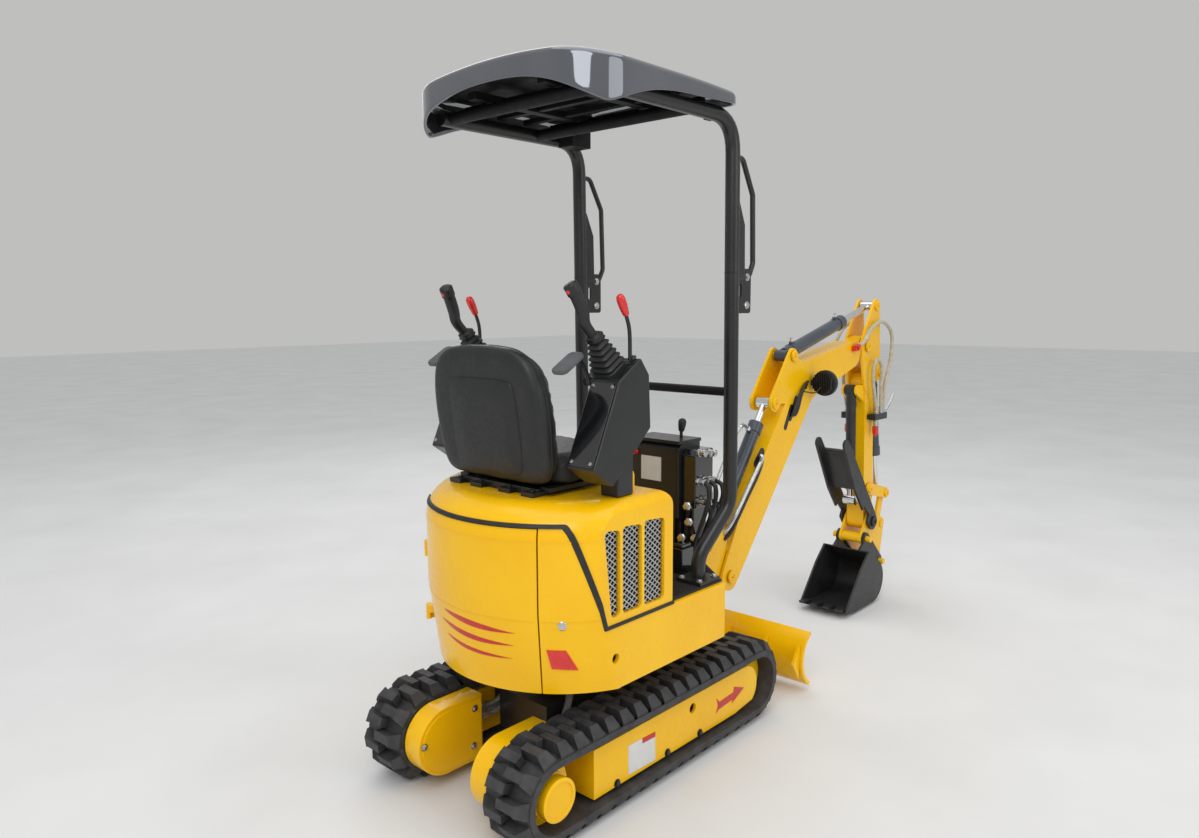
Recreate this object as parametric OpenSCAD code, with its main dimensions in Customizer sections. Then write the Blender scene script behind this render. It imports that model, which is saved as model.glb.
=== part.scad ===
/* [Undercarriage] */
// Width over the two tracks
track_gauge_w = 754; // [740:1:780]
// Width of one rubber track
track_w = 180; // [160:1:190]
// Distance between sprocket and idler axles
wheelbase = 1020; // [980:1:1080]
// Outer radius of the belt without lugs
belt_r = 115; // [110:1:118]
// Thickness of the belt
belt_t = 20; // [16:1:24]
// Height of a lug above the belt
lug_h = 35; // [30:1:38]
// Number of lug steps round the loop
lug_steps = 42; // [36:1:46]
// Radius of the final drive cover
hub_r = 62; // [55:1:66]
// Half width of the slew pedestal
pedestal_r = 190; // [170:1:200]

/* [House] */
// Radius of the tail at its lower edge
tail_r = 412; // [400:1:420]
// Radius of the tail where it bulges most
tail_bulge_r = 445; // [435:1:455]
// Height of the lower edge of the house
house_z = 392; // [385:1:400]
// Height of the operator's floor
floor_z = 587; // [575:1:600]
// Height of the hood's top
hood_z = 948; // [930:1:965]
// Height of the seam between cowl and hood
seam_z = 892; // [880:1:900]
// Thickness of the sheet metal shells
shell_t = 14; // [10:1:18]
// Forward end of the hood
hood_x = -10; // [-20:1:0]
// Forward end of the flat side panels
deck_x = 281; // [270:1:300]
// Forward end of the deck's nose
nose_x = 470; // [450:1:480]
// Angle of the seam beside the rear door, seen from above
door_seam = 208; // [205:1:212]
// Width of the rubber trim in the seams
trim_w = 10; // [8:1:14]

/* [Seat and controls] */
// Width of the seat
seat_w = 480; // [440:10:500]
// Height of the seat back's top
seat_top_z = 1385; // [1350:5:1400]
// Inner side of the arm consoles, from the middle
console_y = 255; // [245:1:265]
// Width of an arm console
console_w = 110; // [100:1:120]

/* [Canopy] */
// Outer radius of the post tubes
post_r = 24; // [20:1:27]
// Distance of the posts from the middle
post_y = 341; // [335:1:345]
// Forward place of the posts at the cross bar
post_x = 349; // [345:1:355]
// Height of the cross bar
bar_z = 1213; // [1190:1:1240]
// Height of the canopy's crown
canopy_z = 2200; // [2150:5:2220]
// Half width of the canopy
canopy_y = 400; // [380:5:410]

/* [Boom] */
// Forward place of the swing axis
swing_x = 600; // [595:1:605]
// Radius of the swing pin
swing_pin_r = 22; // [18:1:24]
// Width over the boom's side plates
boom_w = 106; // [100:1:112]
// Thickness of the side plates
plate_t = 12; // [10:1:13]
// Radius of the main pins
pin_r = 15; // [13:1:16]
// Boom foot pin, forward and up
boom_foot = [800, 410]; // [400:1:900]
// Boom elbow, forward and up
boom_elbow = [1385, 1165]; // [1100:1:1400]
// Arm pivot on the boom, forward and up
arm_pivot = [1985, 1300]; // [1250:1:2000]

/* [Arm and bucket] */
// Lower pin of the arm, forward and up
arm_end = [2058, 408]; // [380:1:2070]
// Width of the arm
arm_w = 90; // [80:1:94]
// Depth of the arm
arm_depth = 104; // [96:1:108]
// Width of the bucket
bucket_w = 250; // [220:5:280]
// Width over the thumb's side plates
thumb_w = 156; // [150:2:164]

/* [Hidden] */
$fn = 64;
yellow = "#f5c400";
black = "#1c1d1f";
steel = "#8d9196";
rubber = "#303133";
cylinder_blue = "#3c4650";
// Swelling of a tube at its bends
bend_swell = 0.6;
// Running clearance between a pin and its bore, and a side gap between moving plates
fit = 0.05;
gap = 3;
slew_gap = 0.3;
axle_z = belt_r + lug_h;
axle_x = wheelbase / 2;
// Outline of one lug, rearward and outward from the middle of the belt
lug_foot = [[-14, -10], [-14, 52], [-25, 86], [25, 86], [14, 52], [14, -10]];
lug_sink = 6;
// Reach of the machine behind and ahead of the slew axis, so that the origin is under its middle
// Reach of a lug's corners beyond its middle where the track turns
lug_overhang = 1;
length_rear = axle_x + axle_z + lug_overhang;
length_front = 2268;
slew_x = (length_rear - length_front) / 2;
track_y = (track_gauge_w - track_w) / 2;
half_w = track_gauge_w / 2;

// Points of two circles wrapped by a straight-sided band, in the plane of the boom
function on_circle(r, a) = r * [cos(a), sin(a)];
function arc_points(c, r, a0, a1, n) = [for (i = [0:n]) c + on_circle(r, a0 + (a1 - a0) * i / n)];
function heading(v) = atan2(v[1], v[0]);
function unit(v) = v / norm(v);
// An outline with each corner rounded to radius r in n steps
function round_corner(a, b, c, r, n) =
    let (u = unit(a - b), v = unit(c - b), half = acos(u * v) / 2, m = b + unit(u + v) * r / sin(half),
         start = heading(b + u * r / tan(half) - m), end = heading(b + v * r / tan(half) - m))
    arc_points(m, r, start, start + (end - start + 540) % 360 - 180, n);
function rounded(p, r, n) =
    [for (i = [0:len(p) - 1]) each round_corner(p[(i + len(p) - 1) % len(p)], p[i], p[(i + 1) % len(p)], r, n)];
function band(c1, r1, c2, r2, n = 10) =
    let (t = heading(c2 - c1), b = acos((r1 - r2) / norm(c2 - c1)))
    concat(arc_points(c1, r1, t + b, t + 360 - b, n), arc_points(c2, r2, t - b, t + b, n));

module placed() { translate([slew_x, 0, 0]) children(); }
// A profile drawn forward and up, extruded from y0 to y1
module across(y0, y1) { translate([0, y1, 0]) rotate([90, 0, 0]) linear_extrude(y1 - y0) children(); }
module both_sides() { children(); mirror([0, 1, 0]) children(); }
// A round bar across the machine
module bar(p, r, y0, y1) { translate([p[0], y0, p[1]]) rotate([-90, 0, 0]) cylinder(h = y1 - y0, r = r); }
// Turns the +X direction to run from point a to point b in the plane of the boom
module along(a, b) { translate([a[0], 0, a[1]]) rotate([0, -heading(b - a), 0]) children(); }
module rod_x(r, x0, x1) { translate([x0, 0, 0]) rotate([0, 90, 0]) cylinder(h = x1 - x0, r = r); }
// A round rod between two points in space
module stick(a, b, r) {
    d = b - a;
    translate(a) rotate([0, acos(d[2] / norm(d)), atan2(d[1], d[0])]) cylinder(h = norm(d), r = r);
}
// A bent tube through a list of points
module tube(points, r) {
    for (i = [0:len(points) - 2]) stick(points[i], points[i + 1], r);
    for (i = [1:len(points) - 2]) translate(points[i]) sphere(r = r + bend_swell);
}
// Distance from the base pin to the full round of a barrel
barrel_neck = 2.5 * pin_r;
// Hydraulic cylinder: the barrel with its eye at the base pin and a gland at its open end
module barrel(base, eye, length, r, rod_r, eye_w) {
    along(base, eye) difference() {
        union() {
            bar([0, 0], 1.7 * pin_r, -eye_w / 2, eye_w / 2);
            rod_x(eye_w / 2 - 1, pin_r, barrel_neck + 1);
            rod_x(r, barrel_neck, length);
            rod_x(r + 4, length - 45, length);
        }
        rod_x(rod_r + fit, 2.5 * pin_r, length + 1);
        bar([0, 0], pin_r + fit, -eye_w, eye_w);
    }
}
// Hydraulic cylinder: the rod, with its eye and pin at the far end
module piston_rod(base, eye, length, rod_r, eye_w) {
    along(eye, base) union() {
        bar([0, 0], 1.6 * pin_r, -eye_w / 2, eye_w / 2);
        rod_x(rod_r, pin_r, length);
    }
}

/* Undercarriage */
frame_in = 215;
frame_out = 350;
frame_low = 68;
frame_top = 221;
frame_rear = -345;
frame_front = 400;
frame_nose_r = 78;
frame_nose = [455, frame_top - frame_nose_r];
// Hole for the track tensioner's grease nipple
grease_hole = [140, 178];
grease_hole_r = 17;
wall = 10;
module track_frame() {
    color(yellow) difference() {
        union() {
            across(frame_in, frame_out) polygon([[frame_rear, frame_low], [frame_front, frame_low],
                [frame_front, frame_top], [frame_rear, frame_top]]);
            across(frame_out - wall, frame_out) nose_outline();
            across(frame_in, frame_in + wall) nose_outline();
            across(frame_in, frame_in + wall) polygon(band([-axle_x, axle_z], 72, [frame_rear + 30, 155], 60));
        }
        across(frame_in + wall, frame_out - wall) polygon([[frame_rear + wall, frame_low - 1],
            [frame_front - wall, frame_low - 1], [frame_front - wall, frame_top - wall],
            [frame_rear + wall, frame_top - wall]]);
        bar(grease_hole, grease_hole_r, frame_out - 2 * wall, frame_out + 1);
    }
}
module nose_outline() {
    polygon(concat([[frame_front - wall, frame_low]], arc_points(frame_nose, frame_nose_r, -50, 90, 10),
        [[frame_front - wall, frame_top]]));
}
module track_frame_left() placed() track_frame();
module track_frame_right() placed() mirror([0, 1, 0]) track_frame();

module loop_outline(r) {
    for (s = [-1, 1]) translate([s * axle_x, axle_z]) circle(r = r);
    translate([-axle_x, axle_z - r]) square([wheelbase, 2 * r]);
}
loop_length = 2 * wheelbase + 2 * PI * belt_r;
// Place and turn of a lug at distance s along the loop, starting at the rear end of the top run
module on_loop(s) {
    turn = PI * belt_r;
    if (s < wheelbase) translate([-axle_x + s, 0, axle_z + belt_r]) children();
    else if (s < wheelbase + turn) translate([axle_x, 0, axle_z]) rotate([0, (s - wheelbase) / turn * 180, 0])
        translate([0, 0, belt_r]) children();
    else if (s < 2 * wheelbase + turn) translate([axle_x - (s - wheelbase - turn), 0, axle_z - belt_r])
        rotate([0, 180, 0]) children();
    else translate([-axle_x, 0, axle_z]) rotate([0, 180 + (s - 2 * wheelbase - turn) / turn * 180, 0])
        translate([0, 0, belt_r]) children();
}
// Side view of a lug, outward and up, sloping down to the belt's edge
lug_reach = 60;
lug_side = [[-10, -lug_sink], [88, -lug_sink], [88, 6], [62, lug_h], [-10, lug_h]];
module lug() {
    intersection() {
        translate([0, 0, -lug_sink]) linear_extrude(lug_h + lug_sink) polygon(lug_foot);
        translate([-lug_reach, 0, 0]) rotate([90, 0, 90]) linear_extrude(2 * lug_reach) polygon(lug_side);
    }
}
module track() {
    color(rubber) union() {
        across(-track_w / 2, track_w / 2) difference() {
            loop_outline(belt_r);
            loop_outline(belt_r - belt_t);
        }
        for (i = [0:lug_steps - 1]) {
            on_loop(i * loop_length / lug_steps) lug();
            on_loop((i + 0.5) * loop_length / lug_steps) mirror([0, 1, 0]) lug();
        }
    }
}
module track_left() placed() translate([0, track_y, 0]) track();
module track_right() placed() translate([0, -track_y, 0]) track();

wheel_gap = 0.3;
hub_inset = 4;
wheel_r = belt_r - belt_t - wheel_gap;
roller_r = 38;
roller_pin_r = 12;
roller_x = [-270, -30, 210];
roller_z = axle_z - belt_r + belt_t + wheel_gap + roller_r;
module running_gear() placed() both_sides() {
    color(yellow) union() {
        bar([-axle_x, axle_z], wheel_r, track_y - 22, track_y + 22);
        bar([-axle_x, axle_z], hub_r, frame_in + wall, half_w - hub_inset);
    }
    color(black) union() {
        bar([axle_x, axle_z], wheel_r, track_y - 25, track_y + 25);
        bar([axle_x, axle_z], 25, frame_in + wall, frame_out - wall);
    }
    for (x = roller_x) color(black) union() {
        bar([x, roller_z], roller_r, track_y - 40, track_y + 40);
        bar([x, roller_z], roller_pin_r, frame_in + wall, frame_out - wall);
    }
}
guard_in = 120;
guard_out = track_y - track_w / 2 - 4;
guard_r = 108;
guard_front = frame_rear - 22;
module motor_guards() placed() both_sides() color(yellow) union() {
    across(guard_in, guard_out) polygon(concat(arc_points([-axle_x, axle_z + 4], guard_r, 90, 270, 20),
        [[guard_front, axle_z + 4 - guard_r], [guard_front, axle_z + 4 + guard_r]]));
    bar([-axle_x, axle_z], 70, guard_out, frame_in);
}

belly_z = 130;
belly_rear = -300;
belly_top = 262;
blade_pivot = [345, 205];
blade_arm_y = 150;
blade_cyl_base = [395, 262];
blade_cyl_eye = [700, 232];
module centre_frame() placed() color(black) difference() {
    union() {
        translate([belly_rear, -guard_in + 10, belly_z]) cube([600, 2 * guard_in - 20, belly_top - belly_z]);
        translate([-230, -frame_in, belly_z + 20]) cube([90, 2 * frame_in, 70]);
        translate([150, -frame_in, belly_z + 20]) cube([90, 2 * frame_in, 70]);
        translate([0, 0, belly_top]) cylinder(h = 50, r = pedestal_r);
        both_sides() across(blade_arm_y - 32, blade_arm_y - 20) polygon(band(blade_pivot, 32, [240, 180], 34));
        both_sides() across(28, 40) polygon(band(blade_cyl_base, 28, [290, 220], 40));
        bar(blade_cyl_base, pin_r, -40, 40);
        both_sides() bar(blade_pivot, pin_r, blade_arm_y - 32, blade_arm_y + 22);
    }
    translate([0, 0, belly_z - 1]) cylinder(h = 200, r = 60);
}
module slew_ring() placed() color(steel) translate([0, 0, belly_top + 50]) difference() {
    cylinder(h = house_z - belly_top - 50 - slew_gap, r = pedestal_r - 10);
    translate([0, 0, -1]) cylinder(h = 200, r = pedestal_r - 60);
}
hose_r = 9;
// Distance from a hose end's middle to the face that it meets at a slant
hose_end = 8.2;
module travel_hoses() placed() both_sides() color(steel) for (k = [0, 1])
    stick([belly_rear - hose_end, 52 + 34 * k, 222 - 22 * k],
        [guard_front + hose_end, guard_in + 16 + 24 * k, 196 - 30 * k], hose_r);

blade_x = 800;
blade_low = 30;
module blade() placed() color(yellow) difference() {
    union() {
        across(-half_w, half_w) polygon(concat(arc_points([blade_x + 140, 128], 112, 118, 242, 12),
            [[blade_x + 140 + 126 * cos(238), blade_low - 4], [blade_x + 70, blade_low - 4]],
            arc_points([blade_x + 140, 128], 126, 240, 120, 12)));
        both_sides() across(blade_arm_y, blade_arm_y + 20)
            polygon(band(blade_pivot, 30, [blade_x + 10, 120], 40));
        for (s = [-1, 1]) across(s * 40 - 6, s * 40 + 6)
            polygon(band(blade_cyl_eye, 26, [blade_x + 10, 150], 50));
        both_sides() for (y = [blade_arm_y + 60, half_w - 24]) across(y, y + 12)
            polygon([[blade_x + 14, 60], [blade_x + 22, 200], [blade_x - 30, 130]]);
    }
    both_sides() bar(blade_pivot, pin_r + fit, blade_arm_y - 1, blade_arm_y + 21);
}
blade_barrel_len = 235;
module blade_cylinder_barrel() placed() color(cylinder_blue)
    barrel(blade_cyl_base, blade_cyl_eye, blade_barrel_len, 25, 13, 50);
module blade_cylinder_rod() placed() color("silver") piston_rod(blade_cyl_base, blade_cyl_eye, 210, 13, 60);

/* House */
deck_nose_y = 140;
// Rear edge of the deck inside the cowl, and the strip of it under the hood's front
deck_rear = -240;
deck_strip = 10;
deck_t = 14;
mat_t = 6;
swing_lug_r = 62;
swing_low = [house_z, house_z + 34];
swing_high = [floor_z - 50, floor_z - 16];
module deck_outline(inset = 0) {
    offset_y = half_w - inset;
    polygon([[deck_rear, -offset_y], [deck_x, -offset_y], [nose_x - inset, -deck_nose_y],
        [nose_x - inset, deck_nose_y], [deck_x, offset_y], [deck_rear, offset_y]]);
}
module deck() placed() color(yellow) difference() {
    union() {
        difference() {
            translate([0, 0, house_z]) linear_extrude(floor_z - mat_t - house_z) deck_outline(shell_t);
            translate([0, 0, house_z + deck_t])
                linear_extrude(floor_z - mat_t - house_z - 2 * deck_t) deck_outline(2 * shell_t);
            translate([deck_rear - 1, -half_w, house_z + deck_t])
                cube([hood_x - deck_strip - shell_t - deck_rear + 1, 2 * half_w, floor_z - house_z]);
        }
        for (z = [swing_low, swing_high]) translate([0, 0, z[0]]) linear_extrude(z[1] - z[0]) {
            translate([swing_x, 0]) circle(r = swing_lug_r);
            translate([nose_x - 40, -swing_lug_r]) square([swing_x - nose_x + 40, 2 * swing_lug_r]);
        }
    }
    translate([swing_x, 0, house_z - 1]) cylinder(h = floor_z, r = swing_pin_r + fit);
}
module floor_mat() placed() color(rubber) translate([0, 0, floor_z - mat_t]) linear_extrude(mat_t)
    difference() {
        deck_outline(shell_t);
        translate([deck_rear - 1, -half_w]) square([hood_x + 2 * trim_proud - deck_rear + 1, 2 * half_w]);
    }
panel_rear = -255;
panel_gap = 0.5;
module side_panels() placed() color(yellow) both_sides()
    translate([panel_rear, half_w - shell_t + panel_gap, house_z])
        cube([deck_x - panel_rear, shell_t - panel_gap, floor_z - mat_t - house_z]);
top_round = 55;
side_round = 40;
// Middle of the tail's round, and the round of its upper edge
tail_x = -100;
tail_round = 100;
bulge_z = [640, 760];
// A length and a height beyond the whole house
house_reach = 800;
house_top = 1200;
// The closed body of engine hood and cowl, drawn inset by a wall thickness
module house_body(inset) {
    top = hood_z - inset;
    bulge = tail_bulge_r - inset;
    front = hood_x - inset;
    intersection() {
        translate([tail_x, 0, 0]) rotate_extrude($fn = 128) polygon(concat([[0, house_z - 1],
            [tail_r - inset, house_z - 1], [bulge, bulge_z[0]], [bulge, bulge_z[1]]],
            arc_points([bulge - tail_round, top - tail_round], tail_round, 0, 90, 8), [[0, top]]));
        across(-half_w + inset, half_w - inset)
            polygon(concat([[-house_reach, house_z - 1], [front, house_z - 1]],
                arc_points([front - top_round, top - top_round], top_round, 0, 90, 8), [[-house_reach, top]]));
        translate([-house_reach, 0, 0]) rotate([90, 0, 90]) linear_extrude(2 * house_reach) polygon(concat(
            arc_points([half_w - inset - side_round, top - side_round], side_round, 0, 90, 8),
            arc_points([-half_w + inset + side_round, top - side_round], side_round, 90, 180, 8),
            [[-half_w + inset, house_z - 1], [half_w - inset, house_z - 1]]));
    }
}
seam_apex = [-320, floor_z];
seam_bend = [-413, seam_z];
// Side view of the region above the seam, moved up and forward by d
module above_seam(d) {
    across(-house_reach, house_reach)
        polygon([[house_reach, seam_apex[1] + d], seam_apex + [d, d], seam_bend + [d, d],
            [-house_reach, seam_z + d], [-house_reach, house_top], [house_reach, house_top]]);
}
// Hole for a tie-down hook low on each side
tie_hole = [-278, 487];
tie_hole_r = 15;
module cowl_shell(drop) {
    difference() {
        house_body(0);
        house_body(shell_t);
        above_seam(-trim_w / 2 - drop);
        translate([panel_rear, -half_w - 1, 0]) cube([house_reach, 2 * half_w + 2, floor_z]);
        translate([-house_reach, -half_w - 1, 0]) cube([2 * house_reach, 2 * half_w + 2, house_z]);
        both_sides() bar(tie_hole, tie_hole_r, half_w - 2 * shell_t, half_w + 1);
    }
}
door_hinge_angle = 140;
door_gap = 3;
// Vertical wedge seen from above between two angles
module wedge(a0, a1) {
    translate([0, 0, house_z - 10]) linear_extrude(house_top)
        polygon(concat([[0, 0]], arc_points([0, 0], house_reach, a0, a1, 8)));
}
door_gap_deg = 0.5;
// Distance from the slew axis to the tail's bulge at an angle seen from above
function tail_reach(a) = tail_x * cos(a) + sqrt(pow(tail_bulge_r, 2) - pow(tail_x * sin(a), 2));
hinge_proud = 10;
hinge_r = tail_reach(door_hinge_angle) + hinge_proud;
hinge_depth = 50;
hinge_knuckle_r = 9;
hinge_pin_r = 5;
hinge_h = 26;
hinge_z = [470, 685];
hinge_leaf = 26;
// One leaf of a door hinge with its knuckle, reaching along the tail on the side given by s
module hinge_half(s) {
    rotate([0, 0, door_hinge_angle]) {
        translate([hinge_r, 0, 0]) cylinder(h = hinge_h, r = hinge_knuckle_r);
        translate([hinge_r - hinge_depth, s > 0 ? 4 : -hinge_leaf, 0])
            cube([hinge_depth, hinge_leaf - 4, hinge_h]);
        translate([hinge_r - 6, s > 0 ? 0 : -8, 0]) cube([10, 8, hinge_h]);
    }
}
module hinge_axis(r, z0, z1) {
    rotate([0, 0, door_hinge_angle]) translate([hinge_r, 0, z0]) cylinder(h = z1 - z0, r = r);
}
module tail_cowl() placed() color(yellow) union() {
    difference() {
        cowl_shell(0);
        wedge(door_hinge_angle - door_gap_deg, door_seam + door_gap_deg);
    }
    for (z = hinge_z) {
        translate([0, 0, z]) difference() { hinge_half(-1); translate([0, 0, -z]) house_body(1); }
        hinge_axis(hinge_pin_r, z, z + 2 * hinge_h);
    }
}
module rear_door() placed() color(yellow) difference() {
    union() {
        intersection() {
            cowl_shell(door_gap);
            wedge(door_hinge_angle, door_seam);
        }
        for (z = hinge_z) translate([0, 0, z + hinge_h + 0.5]) difference() {
            hinge_half(1);
            translate([0, 0, -z - hinge_h - 0.5]) house_body(1);
        }
    }
    for (z = hinge_z) hinge_axis(hinge_pin_r + fit, z, z + 3 * hinge_h);
}
// Rear edge at the foot and at the top, then front edge, of each mesh window
grille_x = [[-296, -326, -258], [-246, -246, -160], [-148, -148, -52]];
grille_z = [612, 872];
grille_round = 14;
function window_points(x) = rounded([[x[0], grille_z[0]], [x[2], grille_z[0]], [x[2], grille_z[1] - 8],
    [x[1], grille_z[1]]], grille_round, 3);
module hood() placed() color(yellow) difference() {
    intersection() {
        difference() {
            house_body(0);
            house_body(shell_t);
        }
        above_seam(trim_w / 2);
    }
    both_sides() for (x = grille_x) across(half_w - 2 * shell_t, half_w + 10) polygon(window_points(x));
}
mesh_pitch = [22, 14];
mesh_bar = 3;
// Diamond openings of one mesh window
function diamonds(x) = [for (j = [0:floor((grille_z[1] - grille_z[0] - 24) / mesh_pitch[1]) - 1])
    let (z = grille_z[0] + 6 + (j + 0.5) * mesh_pitch[1],
         rear = x[0] + (x[1] - x[0]) * (z - grille_z[0]) / (grille_z[1] - grille_z[0]) + 8)
    for (i = [0:floor((x[2] - rear - 6) / mesh_pitch[0]) - 1]) [x[2] - 6 - (i + 0.5) * mesh_pitch[0], z]];
module grilles() placed() color(yellow) both_sides() for (x = grille_x)
    across(half_w - shell_t, half_w - shell_t + 4) {
        holes = diamonds(x);
        a = mesh_pitch[0] / 2 - mesh_bar;
        b = mesh_pitch[1] / 2 - mesh_bar / 2;
        rim = window_points(x);
        polygon(points = concat(rim, [for (h = holes) each [h + [a, 0], h + [0, b], h - [a, 0], h - [0, b]]]),
            paths = concat([[for (k = [0:len(rim) - 1]) k]],
                [for (k = [0:len(holes) - 1]) [for (m = [0:3]) len(rim) + 4 * k + m]]));
    }
trim_proud = 4;
// In front of this place the trim reaches only so deep into the sides
trim_front = -308;
trim_depth = 20;
module trim() placed() color(black) difference() {
    house_body(-trim_proud);
    house_body(shell_t);
    above_seam(trim_w / 2);
    difference() {
        translate([-house_reach, -house_reach, 0]) cube([2 * house_reach, 2 * house_reach, house_top]);
        above_seam(-trim_w / 2);
    }
    translate([trim_front, -half_w + trim_depth, 0]) cube([house_reach, 2 * (half_w - trim_depth), house_top]);
}
module engine_block() placed() color(steel) translate([-430, -180, house_z + deck_t]) cube([330, 360, 290]);

/* Seat and controls */
seat_y = 15;
front_box = [[300, -164, floor_z], [425, 50, 1030]];
// Side view of the front console with its toe room and slanting rear edge
front_toe = [12, 760];
front_slant = 24;
module seat_base() placed() color(black) {
    translate([-370, seat_y - 170, hood_z]) cube([330, 340, 22]);
}
module seat_cushion() placed() color(black) translate([-330, seat_y - seat_w / 2 + 10, hood_z + 22.3])
    cube([360, seat_w - 20, 90]);
back_lean = 8;
module seat_back() placed() color(black) translate([-335, seat_y, hood_z + 32]) rotate([0, -back_lean, 0])
    translate([-70, -seat_w / 2, 0]) cube([65, seat_w, seat_top_z - hood_z - 30]);
console_outline = [[-355, 1045], [-275, 990], [-104, 1143], [-112, 1300], [-150, 1351], [-245, 1290]];
// Rear edge, length and top of the post under a console
console_foot = [-230, 70, 1100];
console_slope = heading(console_outline[4] - console_outline[5]);
// A point on the sloping top of a console, and a step out of that top
function on_console(t) = console_outline[5] + t * [cos(console_slope), sin(console_slope)];
function off_console(d) = d * [-sin(console_slope), cos(console_slope)];
module consoles() placed() both_sides() color(black) union() {
    across(console_y, console_y + console_w) polygon(console_outline);
    translate([console_foot[0], console_y + 8, hood_z]) cube([console_foot[1], 70, console_foot[2] - hood_z]);
}
boot_h = 140;
stick_foot = on_console(52) + off_console(0.3);
stick_neck = stick_foot + off_console(boot_h);
stick_bend = [-318, 1505];
stick_tip = [-356, 1565];
stick_y = 285;
lever_y = 333;
boot_folds = 6;
// Half section of the bellows boot, wider at each fold
boot_section = concat([[0, 0]],
    [for (k = [0:2 * boot_folds])
        [(k % 2 == 0 ? 48 : 40) - 22 * k / (2 * boot_folds), boot_h * k / (2 * boot_folds)]],
    [[0, boot_h]]);
module joysticks() placed() both_sides() color(black) union() {
    translate([0, stick_y, 0]) along(stick_foot, stick_neck)
        rotate([0, 90, 0]) rotate_extrude() polygon(boot_section);
    tube([[stick_neck[0] + 12, stick_y, stick_neck[1] - 15], [stick_bend[0], stick_y, stick_bend[1]],
        [stick_tip[0], stick_y - 12, stick_tip[1]]], 19);
}
lever_foot = on_console(100) + off_console(2.6);
module levers() placed() {
    both_sides() color(black) union() {
        stick([lever_foot[0], lever_y, lever_foot[1]], [-190, lever_y, 1492], 6);
        stick([-184, lever_y, 1480], [-211, lever_y, 1530], 13);
    }
    color(black) union() {
        stick([385, -110, front_box[1][2] + 0.2], [385, -110, front_box[1][2] + 40], 6);
        stick([385, -110, front_box[1][2] + 36], [385, -112, front_box[1][2] + 68], 15);
    }
}
module armrests() placed() both_sides() color(black) union() {
    translate([-405, console_y + 2, 1326]) cube([95, 44, 24]);
    translate([-345, console_y - 6, 1334]) cube([33, 20, 16]);
    across(console_y - 6, console_y) polygon([[-250, 1262], [-215, 1285], [-312, 1350], [-345, 1334]]);
}
module front_console() placed() color(black) across(front_box[0][1], front_box[1][1]) {
    low = [front_box[0][0], front_box[0][2]];
    high = [front_box[1][0], front_box[1][2]];
    polygon([low + [front_toe[0], 0], [low[0] + front_toe[0], front_toe[1] - front_toe[0]],
        [low[0], front_toe[1]], [low[0], high[1] - front_slant], [low[0] + front_slant, high[1]],
        high, [high[0], low[1]]]);
}

/* Canopy */
post_lean = 0.034;
post_foot_z = 805;
post_top_z = 1970;
post_bend_r = 140;
fold_z = 1470;
// Length, width and thickness of one half of the bolted fold joint
flange = [68, 60, 8];
// Gap where a tube's end is seated against another tube
seat_gap = 0.3;
function post_at(z) = post_x - post_lean * (z - bar_z);
module canopy_posts() placed() color(black) union() {
    both_sides() tube([[deck_x - 60, post_y - 34, floor_z + 7], [deck_x - 60, post_y - 34, 650],
        [post_at(post_foot_z), post_y, post_foot_z], [post_at(fold_z), post_y, fold_z - 2]], post_r);
    both_sides() translate([deck_x - 115, post_y - 84, floor_z]) cube([110, 100, 14]);
    stick([post_at(bar_z), -post_y, bar_z], [post_at(bar_z), post_y, bar_z], 12);
    both_sides() translate([post_at(fold_z) - flange[0] / 2, post_y - flange[1] / 2, fold_z - flange[2]])
        cube(flange);
}
canopy_ceiling = canopy_z - 80;
rail_z = canopy_ceiling - post_r;
rail_rear = -300;
rail_bar_x = [-265, 120];
rail_bar_r = 20;
// Points of the bend from an upper post into its rail
post_bend = arc_points([post_at(post_top_z) - post_bend_r, rail_z - post_bend_r], post_bend_r, 0, 90, 4);
module canopy_frame() placed() color(black) {
    both_sides() union() {
        tube(concat([[post_at(fold_z), post_y, fold_z + 2]], [for (q = post_bend) [q[0], post_y, q[1]]],
            [[rail_rear, post_y, rail_z]]), post_r);
        translate([post_at(fold_z) - flange[0] / 2, post_y - flange[1] / 2, fold_z]) cube(flange);
    }
    rail_bar_y = post_y - post_r - seat_gap;
    for (x = rail_bar_x) stick([x, -rail_bar_y, rail_z], [x, rail_bar_y, rail_z], rail_bar_r);
}
handle_r = 9;
handle_z = [1590, 1975];
handle_reach = 112;
// Height over which a handle slopes out at its foot and at its top
handle_slope = [45, 110];
handle_foot = 14;
module grab_handles() placed() color(black) both_sides() {
    foot = post_r + seat_gap;
    low = post_at(handle_z[0]);
    high = post_at(handle_z[1]);
    tube([[high + foot, post_y, handle_z[1]], [high + foot + handle_foot, post_y, handle_z[1]],
        [high + handle_reach, post_y, handle_z[1] - handle_slope[1]],
        [low + handle_reach, post_y, handle_z[0] + handle_slope[0]],
        [low + foot + handle_foot, post_y, handle_z[0]], [low + foot, post_y, handle_z[0]]], handle_r);
}
canopy_x = [-400, 300];
canopy_skirt = 2030;
canopy_front_z = 2110;
canopy_rear_z = 2122;
// Radii of the skirt's wave along the sides and of its arch at the rear
canopy_wave_r = 420;
canopy_arch_r = 586;
// Corner radii at the front and at the rear
canopy_corner = [50, 150];
module canopy_outline(inset) {
    front = [canopy_x[1] - canopy_corner[0], canopy_y - canopy_corner[0]];
    rear = [canopy_x[0] + canopy_corner[1], canopy_y - canopy_corner[1]];
    r0 = canopy_corner[0] - inset;
    r1 = canopy_corner[1] - inset;
    polygon(concat(arc_points(front, r0, 0, 90, 6), arc_points(rear, r1, 90, 180, 8),
        arc_points([rear[0], -rear[1]], r1, 180, 270, 8), arc_points([front[0], -front[1]], r0, 270, 360, 6)));
}
canopy_dome_r = 2600;
canopy_dome_x = -150;
canopy_t = 12;
canopy_rib_x = [-305, -95, 105];
canopy_rib_w = 30;
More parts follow.
